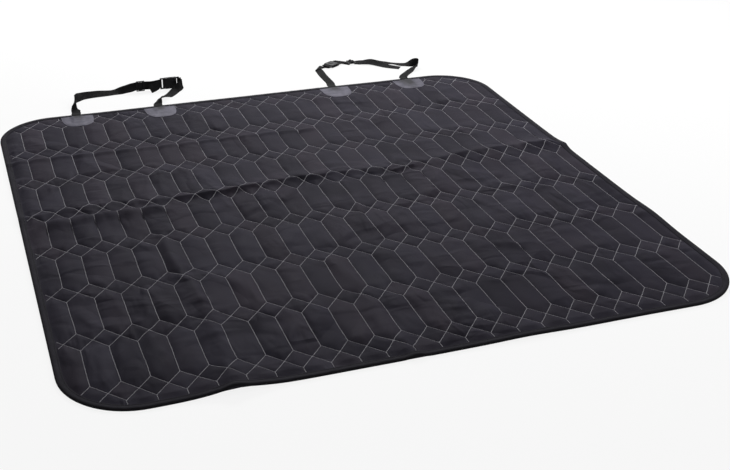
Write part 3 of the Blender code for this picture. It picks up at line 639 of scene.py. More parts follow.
def add_node(tree, kind, inputs=(), **settings):
    """Adds a shader node; an input takes a plain value or the output of another node."""
    made = tree.nodes.new(kind)
    for key, value in settings.items():
        setattr(made, key, value)
    for key, value in dict(inputs).items():
        if isinstance(value, bpy.types.NodeSocket):
            tree.links.new(value, made.inputs[key])
        else:
            made.inputs[key].default_value = value
    return made


def stretched(tree, source, scale, turn=(0.0, 0.0, 0.0)):
    """A place vector scaled along each axis."""
    mapping = add_node(tree, "ShaderNodeMapping", {"Vector": source, "Scale": scale, "Rotation": turn})
    return mapping.outputs["Vector"]


def noise_texture(tree, vector, scale, detail=2.0, roughness=0.5, distortion=0.0):
    """A cloudy pattern from 0 to 1."""
    inputs = {"Vector": vector, "Scale": scale, "Detail": detail, "Roughness": roughness,
              "Distortion": distortion}
    return add_node(tree, "ShaderNodeTexNoise", inputs).outputs["Fac"]


def bands(tree, vector, period, direction, distortion=0.0):
    """Waves of one period along a direction."""
    inputs = {"Vector": vector, "Scale": math.tau / 20 / period, "Distortion": distortion,
              "Detail": 1.0, "Detail Scale": 1.5}
    made = add_node(tree, "ShaderNodeTexWave", inputs, wave_type="BANDS", bands_direction=direction)
    return made.outputs["Fac"]


def math_node(tree, operation, *values):
    """A sum, product or the like of plain values and outputs."""
    return add_node(tree, "ShaderNodeMath", enumerate(values), operation=operation).outputs[0]


def bump(tree, height, distance, strength=1.0, normal=None):
    """Relief from a pattern, laid over coarser relief where that is given."""
    inputs = {"Height": height, "Distance": distance, "Strength": strength}
    if normal is not None:
        inputs["Normal"] = normal
    return add_node(tree, "ShaderNodeBump", inputs).outputs["Normal"]


def blend_colours(tree, factor, *colours):
    """A mix of two colours, each a plain one or an output."""
    inputs = {"Factor": factor}
    for socket, colour in zip((6, 7), colours):
        inputs[socket] = colour if isinstance(colour, bpy.types.NodeSocket) else (*colour, 1.0)
    return add_node(tree, "ShaderNodeMix", inputs, data_type="RGBA").outputs[2]


def toned(colour, share):
    """A colour made darker or lighter."""
    return [share * part for part in colour]


def spread(tree, factor, low, high):
    """Stretches the middle of a pattern to the whole range."""
    inputs = {"Value": factor, "From Min": low, "From Max": high}
    return add_node(tree, "ShaderNodeMapRange", inputs).outputs["Result"]


def between(tree, factor, low, high):
    """Fits a pattern between two values."""
    inputs = {"Value": factor, "To Min": low, "To Max": high}
    return add_node(tree, "ShaderNodeMapRange", inputs).outputs["Result"]


def object_place(tree):
    """Place on the piece, in metres."""
    return add_node(tree, "ShaderNodeTexCoord").outputs["Object"]


def own_value(tree, name, output="Fac"):
    """A value that the piece's mesh holds."""
    return add_node(tree, "ShaderNodeAttribute", attribute_name=name).outputs[output]


def feed(shader, colour, normal, roughness=None):
    """Links a finish's patterns to its main shader."""
    for socket, output in (("Base Color", colour), ("Normal", normal), ("Roughness", roughness)):
        if output is not None:
            shader.id_data.links.new(output, shader.inputs[socket])


def quilt_finish():
    """Charcoal woven cloth with a lilac cast, each tile a little different in tone."""
    colours = bpy.context.scene.cover_colours
    made, tree, shader = new_finish("charcoal quilted cloth", 0.52, Specular_IOR_Level=0.006)
    spot = object_place(tree)
    mottle = spread(tree, noise_texture(tree, spot, 9.0, 3.0), 0.30, 0.70)
    tone = math_node(tree, "MULTIPLY", own_value(tree, "tile_tone"), 0.55)
    shade = math_node(tree, "MULTIPLY_ADD", mottle, 0.45, tone)
    colour = blend_colours(tree, shade, colours.cloth_dark, colours.cloth_light)
    own = spread(tree, own_value(tree, "tile_warmth"), 0.5, 1.0)
    rosy = spread(tree, noise_texture(tree, stretched(tree, spot, (11.0, 6.0, 1.0)), 1.0, 2.0), 0.48, 0.72)
    warmth = math_node(tree, "MULTIPLY_ADD", own, 0.55, math_node(tree, "MULTIPLY", rosy, 0.3))
    warmed = blend_colours(tree, warmth, colour, colours.cloth_warm)
    rubbed = spread(tree, noise_texture(tree, spot, 30.0, 4.0), 0.2, 0.8)
    across_grain = stretched(tree, spot, (11.0, 24.0, 1.0), (0, 0, 0.4))
    along_grain = stretched(tree, spot, (25.0, 9.0, 1.0), (0, 0, 0.3))
    crosswise, lengthwise = (noise_texture(tree, grain, 1.0, 0.7, 0.5, 0.8)
                             for grain in (across_grain, along_grain))
    patchy = spread(tree, noise_texture(tree, spot, 6.5, 1.0), 0.44, 0.62)
    folded = spread(tree, noise_texture(tree, spot, 5.0, 1.0, 0.5, 1.0), 0.48, 0.66)
    wrinkled = bump(tree, math_node(tree, "MULTIPLY", crosswise, patchy), CROSS_WRINKLES)
    wrinkled = bump(tree, math_node(tree, "MULTIPLY", lengthwise, folded), LONG_WRINKLES, 1.0, wrinkled)
    woven = math_node(tree, "MULTIPLY", *(bands(tree, spot, CLOTH_WEAVE, way, 0.4) for way in "XY"))
    feed(shader, warmed, bump(tree, woven, CLOTH_RELIEF, 0.8, wrinkled), between(tree, rubbed, 0.42, 0.56))
    return made


def backing_finish():
    """Plain black woven cloth."""
    colour = bpy.context.scene.cover_colours.backing
    made, tree, shader = new_finish("black backing cloth", 0.75, Sheen_Weight=0.02, Sheen_Roughness=0.5,
                                    Specular_IOR_Level=0.10)
    spot = object_place(tree)
    mottle = spread(tree, noise_texture(tree, spot, 40.0, 3.0), 0.3, 0.7)
    woven = math_node(tree, "MULTIPLY", *(bands(tree, spot, BACKING_WEAVE, way, 0.5) for way in "XY"))
    soft = bump(tree, noise_texture(tree, spot, 85.0, 3.0), BACKING_WAVES)
    feed(shader, blend_colours(tree, mottle, toned(colour, 0.72), colour),
         bump(tree, woven, BACKING_RELIEF, 1.0, soft))
    return made


def binding_finish():
    """Binding tape like the cloth on top, with painted shade taking it to near black along its rolled edge
    and under its flap's end.
    """
    colours = bpy.context.scene.cover_colours
    made, tree, shader = new_finish("binding tape", 0.6, Specular_IOR_Level=0.01)
    spot = object_place(tree)
    mottle = spread(tree, noise_texture(tree, spot, 22.0, 3.0), 0.3, 0.7)
    face = blend_colours(tree, mottle, toned(colours.binding, 0.75), colours.binding)
    soft = bump(tree, noise_texture(tree, spot, 70.0, 3.0), TAPE_WAVES)
    ribs = bands(tree, spot, TAPE_RIBS, "DIAGONAL", 0.5)
    # The rolled edge's colour is painted shade on the outer side of the roll and under the flap's end.
    feed(shader, blend_colours(tree, own_value(tree, "rolled"), face, colours.rolled_edge_shade),
         bump(tree, ribs, TAPE_RELIEF, 1.0, soft))
    return made


def leatherette_finish():
    """Grey leatherette with a pebbled grain and a soft shine, with painted shade where the strap comes out.
    """
    colours = bpy.context.scene.cover_colours
    made, tree, shader = new_finish("grey leatherette", 0.45, Specular_IOR_Level=0.03)
    spot = object_place(tree)
    uneven = noise_texture(tree, spot, 55.0, 3.0)
    mottle = spread(tree, uneven, 0.3, 0.7)
    # The patch's shade attribute is painted shade round the strap's entry, added to the mottle.
    shade = math_node(tree, "MULTIPLY_ADD", mottle, 0.35, own_value(tree, "strap_shade"))
    cells = add_node(tree, "ShaderNodeTexVoronoi", {"Vector": spot, "Scale": 620.0},
                     feature="SMOOTH_F1").outputs["Distance"]
    soft = bump(tree, noise_texture(tree, spot, 110.0, 4.0), LEATHERETTE_WAVES)
    feed(shader, blend_colours(tree, shade, colours.leatherette, colours.leatherette_shade),
         bump(tree, cells, PEBBLE_RELIEF, 1.0, soft), between(tree, uneven, 0.34, 0.52))
    return made


def webbing_finish():
    """Black webbing with cross ribs and lengthwise yarns that follow each strap."""
    colour = bpy.context.scene.cover_colours.webbing
    made, tree, shader = new_finish("black webbing", 0.6, Specular_IOR_Level=0.012)
    along = own_value(tree, "strap_place", "Vector")
    ribs = bands(tree, along, WEBBING_RIBS, "X", 0.3)
    yarns = bands(tree, along, WEBBING_YARNS, "Y", 0.3)
    woven = math_node(tree, "MULTIPLY", ribs, yarns)
    dusty = spread(tree, noise_texture(tree, along, 60.0, 3.0), 0.3, 0.8)
    shade = math_node(tree, "MULTIPLY_ADD", woven, 0.5, math_node(tree, "MULTIPLY", dusty, 0.5))
    feed(shader, blend_colours(tree, shade, toned(colour, 0.6), toned(colour, 1.5)),
         bump(tree, woven, WEBBING_RELIEF))
    return made


def plastic_finish():
    """Black moulded plastic with a fine spark-eroded grain."""
    colour = bpy.context.scene.cover_colours.plastic
    made, tree, shader = new_finish("black moulded plastic", 0.4, Specular_IOR_Level=0.08)
    spot = object_place(tree)
    cloudy = spread(tree, noise_texture(tree, spot, 120.0, 3.0), 0.3, 0.7)
    grain = noise_texture(tree, spot, 2600.0, 2.0)
    feed(shader, blend_colours(tree, cloudy, colour, toned(colour, 1.5)), bump(tree, grain, PLASTIC_RELIEF),
         between(tree, cloudy, 0.34, 0.46))
    return made


def thread_finish(name, colour):
    """Sewing thread with the turns of its ply."""
    made, tree, shader = new_finish(name, 0.45, Specular_IOR_Level=0.05)
    ply = bands(tree, object_place(tree), THREAD_PLY, "DIAGONAL", 1.0)
    feed(shader, blend_colours(tree, ply, toned(colour, 0.72), colour), bump(tree, ply, THREAD_RELIEF))
    return made


# Quilted panel

def lattice():
    """The front corner of every diamond that could reach the panel."""
    columns = math.ceil(2 * HALF_WIDTH / COLUMN_PITCH) + 2
    rows = math.ceil(2 * HALF_DEPTH / ROW_PITCH) + 1
    for row in range(-1, rows):
        for column in range(-2, columns):
            yield FIRST_COLUMN + column * COLUMN_PITCH, FIRST_ROW + row * ROW_PITCH


def tile_corners():
    """Corners of the two tiles, from the front corner of a diamond."""
    half, rise, low, high = COLUMN_PITCH / 2, DIAMOND_DEPTH / 2, DIAMOND_DEPTH, ROW_PITCH
    hexagon = [(0, low), (half, low - rise), (2 * half, low),
               (2 * half, high), (half, high + rise), (0, high)]
    diamond = [(0, 0), (half, rise), (0, low), (-half, rise)]
    return [Vector(corner) for corner in hexagon], [Vector(corner) for corner in diamond]


def tile_mesh(corners, rings):
    """One flat tile, ringed from its stitching inwards, with its sides cut into short pieces."""
    bm = bmesh.new()
    core = bm.faces.new([bm.verts.new(corner.to_3d()) for corner in corners])
    depth = 0.0
    for ring in rings:
        bmesh.ops.inset_individual(bm, faces=[core], thickness=ring - depth, use_even_offset=True)
        depth = ring
    slope = DIAMOND_DEPTH / COLUMN_PITCH
    upright, slanted = [], []
    for edge in bm.edges:
        run = edge.verts[1].co - edge.verts[0].co
        middle = (edge.verts[1].co + edge.verts[0].co) / 2
        if abs(run.x) < 1e-6:
            if len(corners) == 6 and abs(middle.x - COLUMN_PITCH / 2) > 1e-4:
                upright.append(edge)
        elif abs(abs(run.y / run.x) - slope) < 0.01:
            slanted.append(edge)
    if upright:
        bmesh.ops.subdivide_edges(bm, edges=upright, cuts=LONG_CUTS)
    bmesh.ops.subdivide_edges(bm, edges=slanted, cuts=SLANT_CUTS)
    bmesh.ops.triangulate(bm, faces=[face for face in bm.faces if len(face.verts) > 4])
    return as_mesh(bm, "tile")


def append_copy(bm, mesh, move):
    """Adds a moved copy of a mesh to a bmesh."""
    copy = mesh.copy()
    copy.transform(move)
    bm.from_mesh(copy)
    bpy.data.meshes.remove(copy)


def flat_quilt():
    """All the tiles, flat, joined and cut back to just inside the panel's edge."""
    rim = outline(LAYER_END)
    bm = bmesh.new()
    for corners, rings in zip(tile_corners(), (HEXAGON_RINGS, DIAMOND_RINGS)):
        mesh = tile_mesh(corners, rings)
        for x, y in lattice():
            moved = [corner + Vector((x, y)) for corner in corners]
            inside = edge_distance(*np.array(moved).T) > LAYER_END
            if all(inside):
                append_copy(bm, mesh, Matrix.Translation((x, y, 0)))
                continue
            part = bmesh.new()
            append_copy(part, mesh, Matrix.Translation((x, y, 0)))
            trim(part, rim, moved)
            trimmed = as_mesh(part, "trimmed tile")
            if trimmed.polygons:
                bm.from_mesh(trimmed)
            bpy.data.meshes.remove(trimmed)
        bpy.data.meshes.remove(mesh)
    bmesh.ops.remove_doubles(bm, verts=bm.verts, dist=2e-5)
    for band, step in ((FOLD_BAND, FOLD_STEP), (CREASE_BAND, CREASE_STEP)):
        sliced(bm, with_parts(faces_in_band(bm.faces, band)), 1, np.arange(*band, step))
    return bm


def cut_grid(bm, faces):
    """Splits flat faces by a grid that is finer along the fold."""
    geometry = with_parts(faces)
    for axis, half in enumerate((HALF_WIDTH, HALF_DEPTH)):
        geometry = sliced(bm, geometry, axis, np.arange(-half + GRID_STEP, half, GRID_STEP))
    geometry = sliced(bm, geometry, 1, np.arange(*FOLD_BAND, FOLD_STEP))
    geometry = with_parts(faces_in_band(geometry, FOLD_BAND))
    sliced(bm, geometry, 0, np.arange(-HALF_WIDTH + GRID_STEP / 3, HALF_WIDTH, GRID_STEP / 3))


def quilted_face():
    """Upper cloth with its wadding: stitched down along the lattice and puffed up in each tile."""
    bm = flat_quilt()
    x, y, _ = columns_of(bm.verts)
    height = quilted_height(x, y)
    x, y = pulled(x, y)
    move_to(bm.verts, x, y, height + ground(x, y))
    rim = [edge for edge in bm.edges if edge.is_boundary]
    dropped = bmesh.ops.extrude_edge_only(bm, edges=rim)["geom"]
    for vert in points_in(dropped):
        vert.co.z = BELOW
    lower = [edge for edge in edges_in(dropped) if edge.is_boundary]
    cut_grid(bm, bmesh.ops.holes_fill(bm, edges=lower, sides=0)["faces"])
    under = [vert for vert in bm.verts if vert.co.z < BELOW / 2]
    x, y, _ = columns_of(under)
    set_heights(under, FACE_BOTTOM + ground(x, y, creases=False))
    made = bake("quilted_face", bm, quilt_finish())
    mesh = made.data
    centres = np.zeros(3 * len(mesh.polygons), np.float32)
    mesh.polygons.foreach_get("center", centres)
    for name, layer in (("tile_tone", TILE_TONE), ("tile_warmth", TILE_WARMTH)):
        tones = tile_random(centres[0::3], centres[1::3], layer).astype(np.float32)
        mesh.attributes.new(name, "FLOAT", "FACE").data.foreach_set("value", tones)
    return place(made, "face fabric", "face_fabric", "wadding")


def backing_cloth():
    """Lower cloth, which follows the fold and lies over the binding's lower side at its edge."""
    bm = bmesh.new()
    bm.faces.new([bm.verts.new(point.to_3d()) for point in outline(LAYER_END)])
    cut_grid(bm, bm.faces[:])
    lower = bm.verts[:]
    upper = points_in(bmesh.ops.extrude_face_region(bm, geom=bm.faces[:])["geom"])
    x, y, _ = columns_of(lower)
    raised = np.where(edge_distance(x, y) < 3 * BINDING_WIDTH, TAPE_RISE, 0.0)
    set_heights(lower, raised + ground(x, y, creases=False))
    x, y, _ = columns_of(upper)
    set_heights(upper, BACKING_TOP + ground(x, y, creases=False))
    return place(bake("backing_cloth", bm, backing_finish()), "backing cloth", "backing")


# Stitching

def stitch_mesh(length, width, height):
    """One stitch along X, a small long bead."""
    bm = bmesh.new()
    bmesh.ops.create_uvsphere(bm, u_segments=4, v_segments=3, radius=0.5)
    bmesh.ops.rotate(bm, verts=bm.verts, matrix=Matrix.Rotation(math.pi / 2, 3, "Y"))
    for vert in bm.verts:
        if abs(vert.co.x) < 0.4:
            vert.co.x *= 1.4
    bmesh.ops.scale(bm, verts=bm.verts, vec=(length, width, height))
    return as_mesh(bm, "stitch")


def seam_stitch(length, shares):
    """One stitch of a seam, its width and height given as shares of the quilting thread's width."""
    thread = bpy.context.scene.cover_sizes.thread_width
    return stitch_mesh(length, *(thread * share for share in shares))


def stitches_along(bm, stitch, line, pitch):
    """Sews copies of one stitch along a line of points, each turned to lie on it."""
    line = [Vector(point).to_3d() for point in line]
    gap = pitch / 2
    for start, end in zip(line, line[1:]):
        run = end - start
        turn = run.to_track_quat("X", "Z").to_matrix().to_4x4()
        while gap < run.length:
            append_copy(bm, stitch, Matrix.Translation(start + run * (gap / run.length)) @ turn)
            gap += pitch
        gap -= run.length


def sewn_lines(name, lines, finish):
    """All the quilting stitches along the lattice's lines, lying on the cloth."""
    sizes = bpy.context.scene.cover_sizes
    stitch = stitch_mesh(sizes.stitch_pitch * STITCH_FILL, sizes.thread_width,
                         sizes.thread_width * THREAD_HEIGHT)
    size = len(stitch.vertices)
    run = bmesh.new()
    for line in lines:
        length = (line[1] - line[0]).length
        stitches_along(run, stitch, line, length / round(length / sizes.stitch_pitch))
    run_mesh = as_mesh(run, "run")
    bm = bmesh.new()
    for x, y in lattice():
        append_copy(bm, run_mesh, Matrix.Translation((x, y, 0)))
    x, y, z = columns_of(bm.verts)
    x, y = x.reshape(-1, size), y.reshape(-1, size)
    drift = np.random.default_rng(SEED).normal(0.0, THREAD_DRIFT, (2, len(x), 1))
    x, y = x + drift[0], y + drift[1]
    middle = edge_distance(x.mean(1), y.mean(1))
    x, y = pulled(x.ravel(), y.ravel())
    move_to(bm.verts, x, y, z + STITCH_LEVEL + ground(x, y) + sizes.thread_width * THREAD_LIFT)
    outside = np.repeat(middle < BINDING_WIDTH + sizes.stitch_pitch / 2, size)
    bmesh.ops.delete(bm, geom=[vert for vert, gone in zip(bm.verts, outside) if gone], context="VERTS")
    bpy.data.meshes.remove(stitch)
    bpy.data.meshes.remove(run_mesh)
    return place(bake(name, bm, finish), "face fabric")


# Binding

def rim_stations():
    """Places round the panel's outer edge, with the way inwards at each."""
    outer, inner = outline(0.0), outline(CORNER_RADIUS / 2)
    stations = []
    for index, start in enumerate(outer):
        after = (index + 1) % len(outer)
        end = outer[after]
        ways = (inner[index] - start).normalized(), (inner[after] - end).normalized()
        count = math.ceil((end - start).length / RIM_STEP)
        for step in range(count):
            way = ways[0].lerp(ways[1], step / count).normalized()
            stations.append((*start.lerp(end, step / count), *way))
    return np.array(stations)


def edge_binding():
    """Tape folded round the edge of the layers, rolled at the outside and pulled down by its seam."""
    stations = rim_stations()
    around = np.arange(len(stations)) * RIM_STEP
    pucker = noise_along(around, *PUCKER_NOISE) + FINE_PUCKER * noise_along(around, *FINE_PUCKER_NOISE)
    wander = BINDING_WANDER * noise_along(around, *WANDER_NOISE)
    bm = bmesh.new()
    station = bm.verts.layers.int.new("station")
    rolled = bm.verts.layers.float.new("rolled")
    verts, loop = closed_loop(bm, station, [(x, y, 0) for x, y, _, _ in stations])
    start_loop = loop
    for index, (inset, height, puff, dark) in enumerate(BINDING_SECTION):
        if index:
            verts, loop = next_loop(bm, loop)
        order = np.array([vert[station] for vert in verts])
        spots = stations[order]
        depth = inset + wander[order] * min(1.0, inset / BINDING_WIDTH)
        x, y = spots[:, 0] + spots[:, 2] * depth, spots[:, 1] + spots[:, 3] * depth
        move_to(verts, x, y, height + puff * pucker[order] + ground(x, y))
        # Each ring takes its share of painted shade from the section's last column, darkest on the roll's
        # outer side.
        for vert in verts:
            vert[rolled] = dark
    bmesh.ops.bridge_loops(bm, edges=start_loop + loop)
    return place(bake("edge_binding_tape", bm, binding_finish()), "binding tape", "edge_binding")


def binding_seam():
    """Row of stitches that holds the binding, just inside its inner edge."""
    stations = rim_stations()
    x = stations[:, 0] + stations[:, 2] * BINDING_SEAM
    y = stations[:, 1] + stations[:, 3] * BINDING_SEAM
    z = BINDING_SEAM_LEVEL + ground(x, y)
    line = list(zip(x, y, z))
    stitch = seam_stitch(BINDING_STITCH, BINDING_THREAD)
    bm = bmesh.new()
    stitches_along(bm, stitch, line + line[:1], SEAM_PITCH)
    bpy.data.meshes.remove(stitch)
    finish = thread_finish("dark binding thread", bpy.context.scene.cover_colours.dark_thread)
    return place(bake("binding_seam", bm, finish), "binding tape")


# Patches

def patch_outline():
    """A D-shaped patch, straight at the back; the middle of its back edge is the origin."""
    points = []
    for step in range(PATCH_STEPS + 1):
        turn = math.pi * step / PATCH_STEPS
        u = math.copysign(abs(math.cos(turn)) ** (2 / PATCH_POWER), math.cos(turn))
        points.append(Vector((u * PATCH_HALF, -PATCH_DEPTH * math.sin(turn) ** (2 / PATCH_POWER))))
    back = [Vector((-PATCH_HALF + 2 * PATCH_HALF * k / PATCH_BACK_STEPS, 0))
            for k in range(1, PATCH_BACK_STEPS)]
    return points + back


def patch_lift(x, y, middle, back, inset):
    """Height of a patch's underside, over the cloth and the strap end that it covers."""
    u, v = np.abs(x - middle), back - y
    over = (ease(1 - (u - WEBBING_WIDTH / 2) / STRAP_SHOULDER)
            * ease(1 - (v - SEWN_LENGTH) / STRAP_SHOULDER))
    rumple = PATCH_RUMPLE * noise_at(x, y, *PATCH_NOISE)
    loose = PATCH_LOOSE * ease(inset / LOOSE_REACH) + rumple * ease(inset / RUMPLE_REACH)
    seam = SEAM_DIP * np.exp(-((inset - PATCH_SEAM) / SEAM_DIP_WIDTH) ** 2)
    return PATCH_REST + (WEBBING + PATCH_OVER_STRAP) * over + loose - seam + ground(x, y)


def anchor_patch(node, middle, back, finish):
    """Leatherette patch sewn down over the end of a strap."""
    bm = bmesh.new()
    core = bm.faces.new([bm.verts.new(point.to_3d()) for point in patch_outline()])
    inset_layer = bm.verts.layers.float.new("inset")
    centre = Vector((0, -PATCH_DEPTH * PATCH_MIDDLE, 0))
    share = 1.0
    for ring in PATCH_RINGS:
        bmesh.ops.inset_individual(bm, faces=[core], thickness=1e-6)
        for vert in core.verts:
            vert.co = centre + (vert.co - centre) * (1 - ring / PATCH_REACH) / share
            vert[inset_layer] = ring
        share = 1 - ring / PATCH_REACH
    bmesh.ops.triangulate(bm, faces=[core])
    bmesh.ops.translate(bm, verts=bm.verts, vec=(middle, back, 0))
    strap_shade = bm.verts.layers.float.new("strap_shade")
    lower = bm.verts[:]
    upper = points_in(bmesh.ops.extrude_face_region(bm, geom=bm.faces[:])["geom"])
    wide, deep = PATCH_SHADE_REACHES.get(node, PATCH_SHADE_REACH)
    for verts, thickness in ((lower, 0.0), (upper, PATCH_THICKNESS)):
        x, y, _ = columns_of(verts)
        inset = np.array([vert[inset_layer] for vert in verts])
        set_heights(verts, patch_lift(x, y, middle, back, inset) + thickness)
        # Painted shade round the strap's entry, strongest at the middle of the patch's back edge.
        strap_shades = np.exp(-((x - middle) / wide) ** 2 - ((back - y) / deep) ** 2)
        for vert, shade_share in zip(verts, strap_shades):
            vert[strap_shade] = shade_share
    made = bake(f"{node}_leatherette", bm, finish)
    round_edges(made, "cut edge", PATCH_THICKNESS * PATCH_ROUNDING, 50)
    return place(made, "leatherette", node)


def patch_seams():
    """Stitches round every patch, a little inside its edge."""
    stitch = seam_stitch(PATCH_STITCH, PATCH_THREAD)
    points = patch_outline()
    centre = Vector((0, -PATCH_DEPTH * SEAM_MIDDLE))
    bm = bmesh.new()
    for _, middle, back in PATCHES:
        line = []
        for point in points + points[:1]:
            inwards = (centre - point).normalized()
            line.append(point + inwards * PATCH_SEAM * SEAM_INSET + Vector((middle, back)))
        x, y = np.array(line).T
        inset = np.full(len(x), PATCH_SEAM)
        z = patch_lift(x, y, middle, back, inset) + PATCH_THICKNESS + SEAM_STANDS
        stitches_along(bm, stitch, list(zip(x, y, z)), SEAM_PITCH)
    bpy.data.meshes.remove(stitch)
    finish = thread_finish("grey patch thread", bpy.context.scene.cover_colours.patch_thread)
    return place(bake("patch_seams", bm, finish), "leatherette")


# Straps

def lying(x, y, lift=0.0, tilt=0.0):
    """A free place on a strap, lift above the floor: its middle, no half width yet, and its tilt."""
    turn = math.radians(tilt)
    size = WEBBING_WIDTH * abs(math.sin(turn)) + WEBBING * abs(math.cos(turn))
    return Vector((x, y, lift + size / 2)), None, turn


def lying_along(x, y, places):
    """Free places of a strap, counted from one place on the floor."""
    return [lying(x + right, y + behind, *rest) for right, behind, *rest in places]


def across(direction, tilt):
    """Unit vector to a strap's left edge: level at tilt 0, upright at a quarter turn."""
    level = Vector((-direction.y, direction.x, 0)).normalized()
    return level * math.cos(tilt) + direction.normalized().cross(level) * math.sin(tilt)


def catmull_rom(p0, p1, p2, p3, t):
    """A place between p1 and p2 on the smooth curve through all four."""
    return 0.5 * (2 * p1 + (p2 - p0) * t + (2 * p0 - 5 * p1 + 4 * p2 - p3) * t * t
                  + (3 * p1 - p0 - 3 * p2 + p3) * t ** 3)


def rulings(stations):
    """Fills a strap's list of places with the smooth ones between them."""
    last = len(stations) - 1
    centres = [station[0] for station in stations]
    halves = []
    for index, (_, half, tilt) in enumerate(stations):
        if half is None:
            direction = centres[min(index + 1, last)] - centres[max(index - 1, 0)]
            half = across(direction, tilt) * WEBBING_WIDTH / 2
        halves.append(half)
    filled = []
    for index in range(last):
        filled.append((centres[index], halves[index]))
        if stations[index][1] is not None and stations[index + 1][1] is not None:
            continue
        around = [centres[min(max(index + k, 0), last)] for k in (-1, 0, 1, 2)]
        for step in range(1, WEBBING_STEPS):
            t = step / WEBBING_STEPS
            half = halves[index].lerp(halves[index + 1], ease(t)).normalized() * WEBBING_WIDTH / 2
            filled.append((catmull_rom(*around, t), half))
    filled.append((centres[last], halves[last]))
    return filled


def hardware_frame(x, y, heading, tilt, width, thickness):
    """Place of a buckle or slider: local X along the strap, Y across it, Z through it."""
    turn = math.radians(tilt)
    height = (width * abs(math.sin(turn)) + thickness * abs(math.cos(turn))) / 2
    along = Vector((math.cos(math.radians(heading)), math.sin(math.radians(heading)), 0))
    left = across(along, turn)
    placed = Matrix((along, left, along.cross(left))).transposed().to_4x4()
    placed.translation = (x, y, height)
    return placed


def held(place_of, along, through):
    """A place on a strap fixed by a buckle or slider."""
    half = place_of.to_3x3() @ Vector((0, WEBBING_WIDTH / 2, 0))
    return place_of @ Vector((along, 0, through)), half, 0.0


def slider_pass(place_of, level, way):
    """A layer of webbing under the slider's end bars and over its centre bar."""
    clear = SLIDER_THICKNESS / 2 + TOUCH + WEBBING / 2
    under, over = -clear - level[0], clear + level[1]
    outer = SLIDER_CENTRE / 2 + SLIDER_SLOT + SLIDER_BAR
    inner = SLIDER_CENTRE / 2 + SLIDER_SLOT - WEBBING / 6
    top = SLIDER_CENTRE / 2 + WEBBING / 6
    path = [(-outer, under), (-inner, under), (-top, over), (top, over), (inner, under), (outer, under)]
    return [held(place_of, way * along, through) for along, through in path]


def bar_wrap(place_of, bar_middle, way, side=1, slack=0.0):
    """Webbing round a bar: it comes in below, turns in the slot and leaves above, or the reverse."""
    half_bar, half_thick, radius = BAR / 2, BAR_THICKNESS / 2, TOUCH + WEBBING / 2
    path = [(-half_bar - radius, -half_thick - radius)]
    for corner, start in ((-1, -90), (1, 0)):
        for step in range(WRAP_STEPS + 1):
            angle = math.radians(start + 90 / WRAP_STEPS * step)
            path.append((half_bar + slack + radius * math.cos(angle),
                         corner * half_thick + radius * math.sin(angle)))
    path.append((-half_bar - radius, half_thick + radius))
    return [held(place_of, bar_middle + way * along, side * through) for along, through in path]


def creased(x, y, heading_in, heading_out):
    """Webbing folded flat over itself along a slanting crease, the far side on top."""
    heading = math.radians((heading_in + heading_out) / 2)
    crease = Vector((math.cos(heading), math.sin(heading), 0))
    first, second = math.radians(heading_in), math.radians(heading_out)
    way_in = Vector((math.cos(first), math.sin(first), 0))
    way_out = Vector((math.cos(second), math.sin(second), 0))
    slant = abs(crease.cross(way_in).z)
    run = abs(crease.dot(way_in))
    level = Vector((-way_in.y, way_in.x, 0))
    reach = crease * math.copysign(WEBBING_WIDTH / 2 / slant, crease.dot(level))
    outward = (way_in - crease * crease.dot(way_in)).normalized()
    radius = WEBBING / 2 + TOUCH
    start = Vector((x, y, WEBBING / 2))
    lead = WEBBING_WIDTH / 2 * run / slant + 2 * WEBBING
    places = [(start - way_in * lead, level * WEBBING_WIDTH / 2, 0.0)]
    for step in range(CREASE_STEPS + 1):
        angle = math.pi * step / CREASE_STEPS
        off = outward * radius * math.sin(angle) + Vector((0, 0, radius * (1 - math.cos(angle))))
        slide = crease * crease.dot(way_in) * radius * angle / slant
        places.append((start + off + slide, reach, 0.0))
    flipped = crease * 2 * crease.dot(level) - level
    places.append((places[-1][0] + way_out * lead, flipped * WEBBING_WIDTH / 2, 0.0))
    return places


def sewn_end(x):
    """A strap's end under its patch, over the binding and down to the floor."""
    inner = BACK_EDGE - BINDING_WIDTH - TOUCH
    return [lying(x, inner - SEWN_LENGTH, SEWN_REST), lying(x, inner - SEWN_LENGTH / 2, SEWN_REST),
            lying(x, inner - SEWN_RISE_START, SEWN_REST),
            lying(x, BACK_EDGE - BINDING_WIDTH / 2, SEWN_OVER),
            lying(x, BACK_EDGE + WEBBING, SEWN_OVER - SEWN_DROP)]


def webbing_strap(name, node, stations, finish):
    """Webbing drawn along its places, with raised selvedges and sealed ends."""
    places = rulings(stations)
    last = len(places) - 1
    bm = bmesh.new()
    corner = bm.verts.layers.int.new("corner")
    strap_place = bm.verts.layers.float_vector.new("strap_place")
    verts, loop = closed_loop(bm, corner, [(0, 0, 0)] * len(WEBBING_SECTION))
    travelled = 0.0
    for index, (centre, half) in enumerate(places):
        if index:
            travelled += (centre - places[index - 1][0]).length
            verts, loop = next_loop(bm, loop)
        direction = places[min(index + 1, last)][0] - places[max(index - 1, 0)][0]
        up = direction.cross(half).normalized() * WEBBING / 2
        for vert in verts:
            wide, thick = WEBBING_SECTION[vert[corner]]
            vert.co = centre + half * wide + up * thick
            vert[strap_place] = (travelled, wide * WEBBING_WIDTH / 2, 0.0)
    ends = [edge for edge in bm.edges if edge.is_boundary]
    bmesh.ops.holes_fill(bm, edges=ends, sides=0)
    return place(bake(name, bm, finish), "black webbing", node)


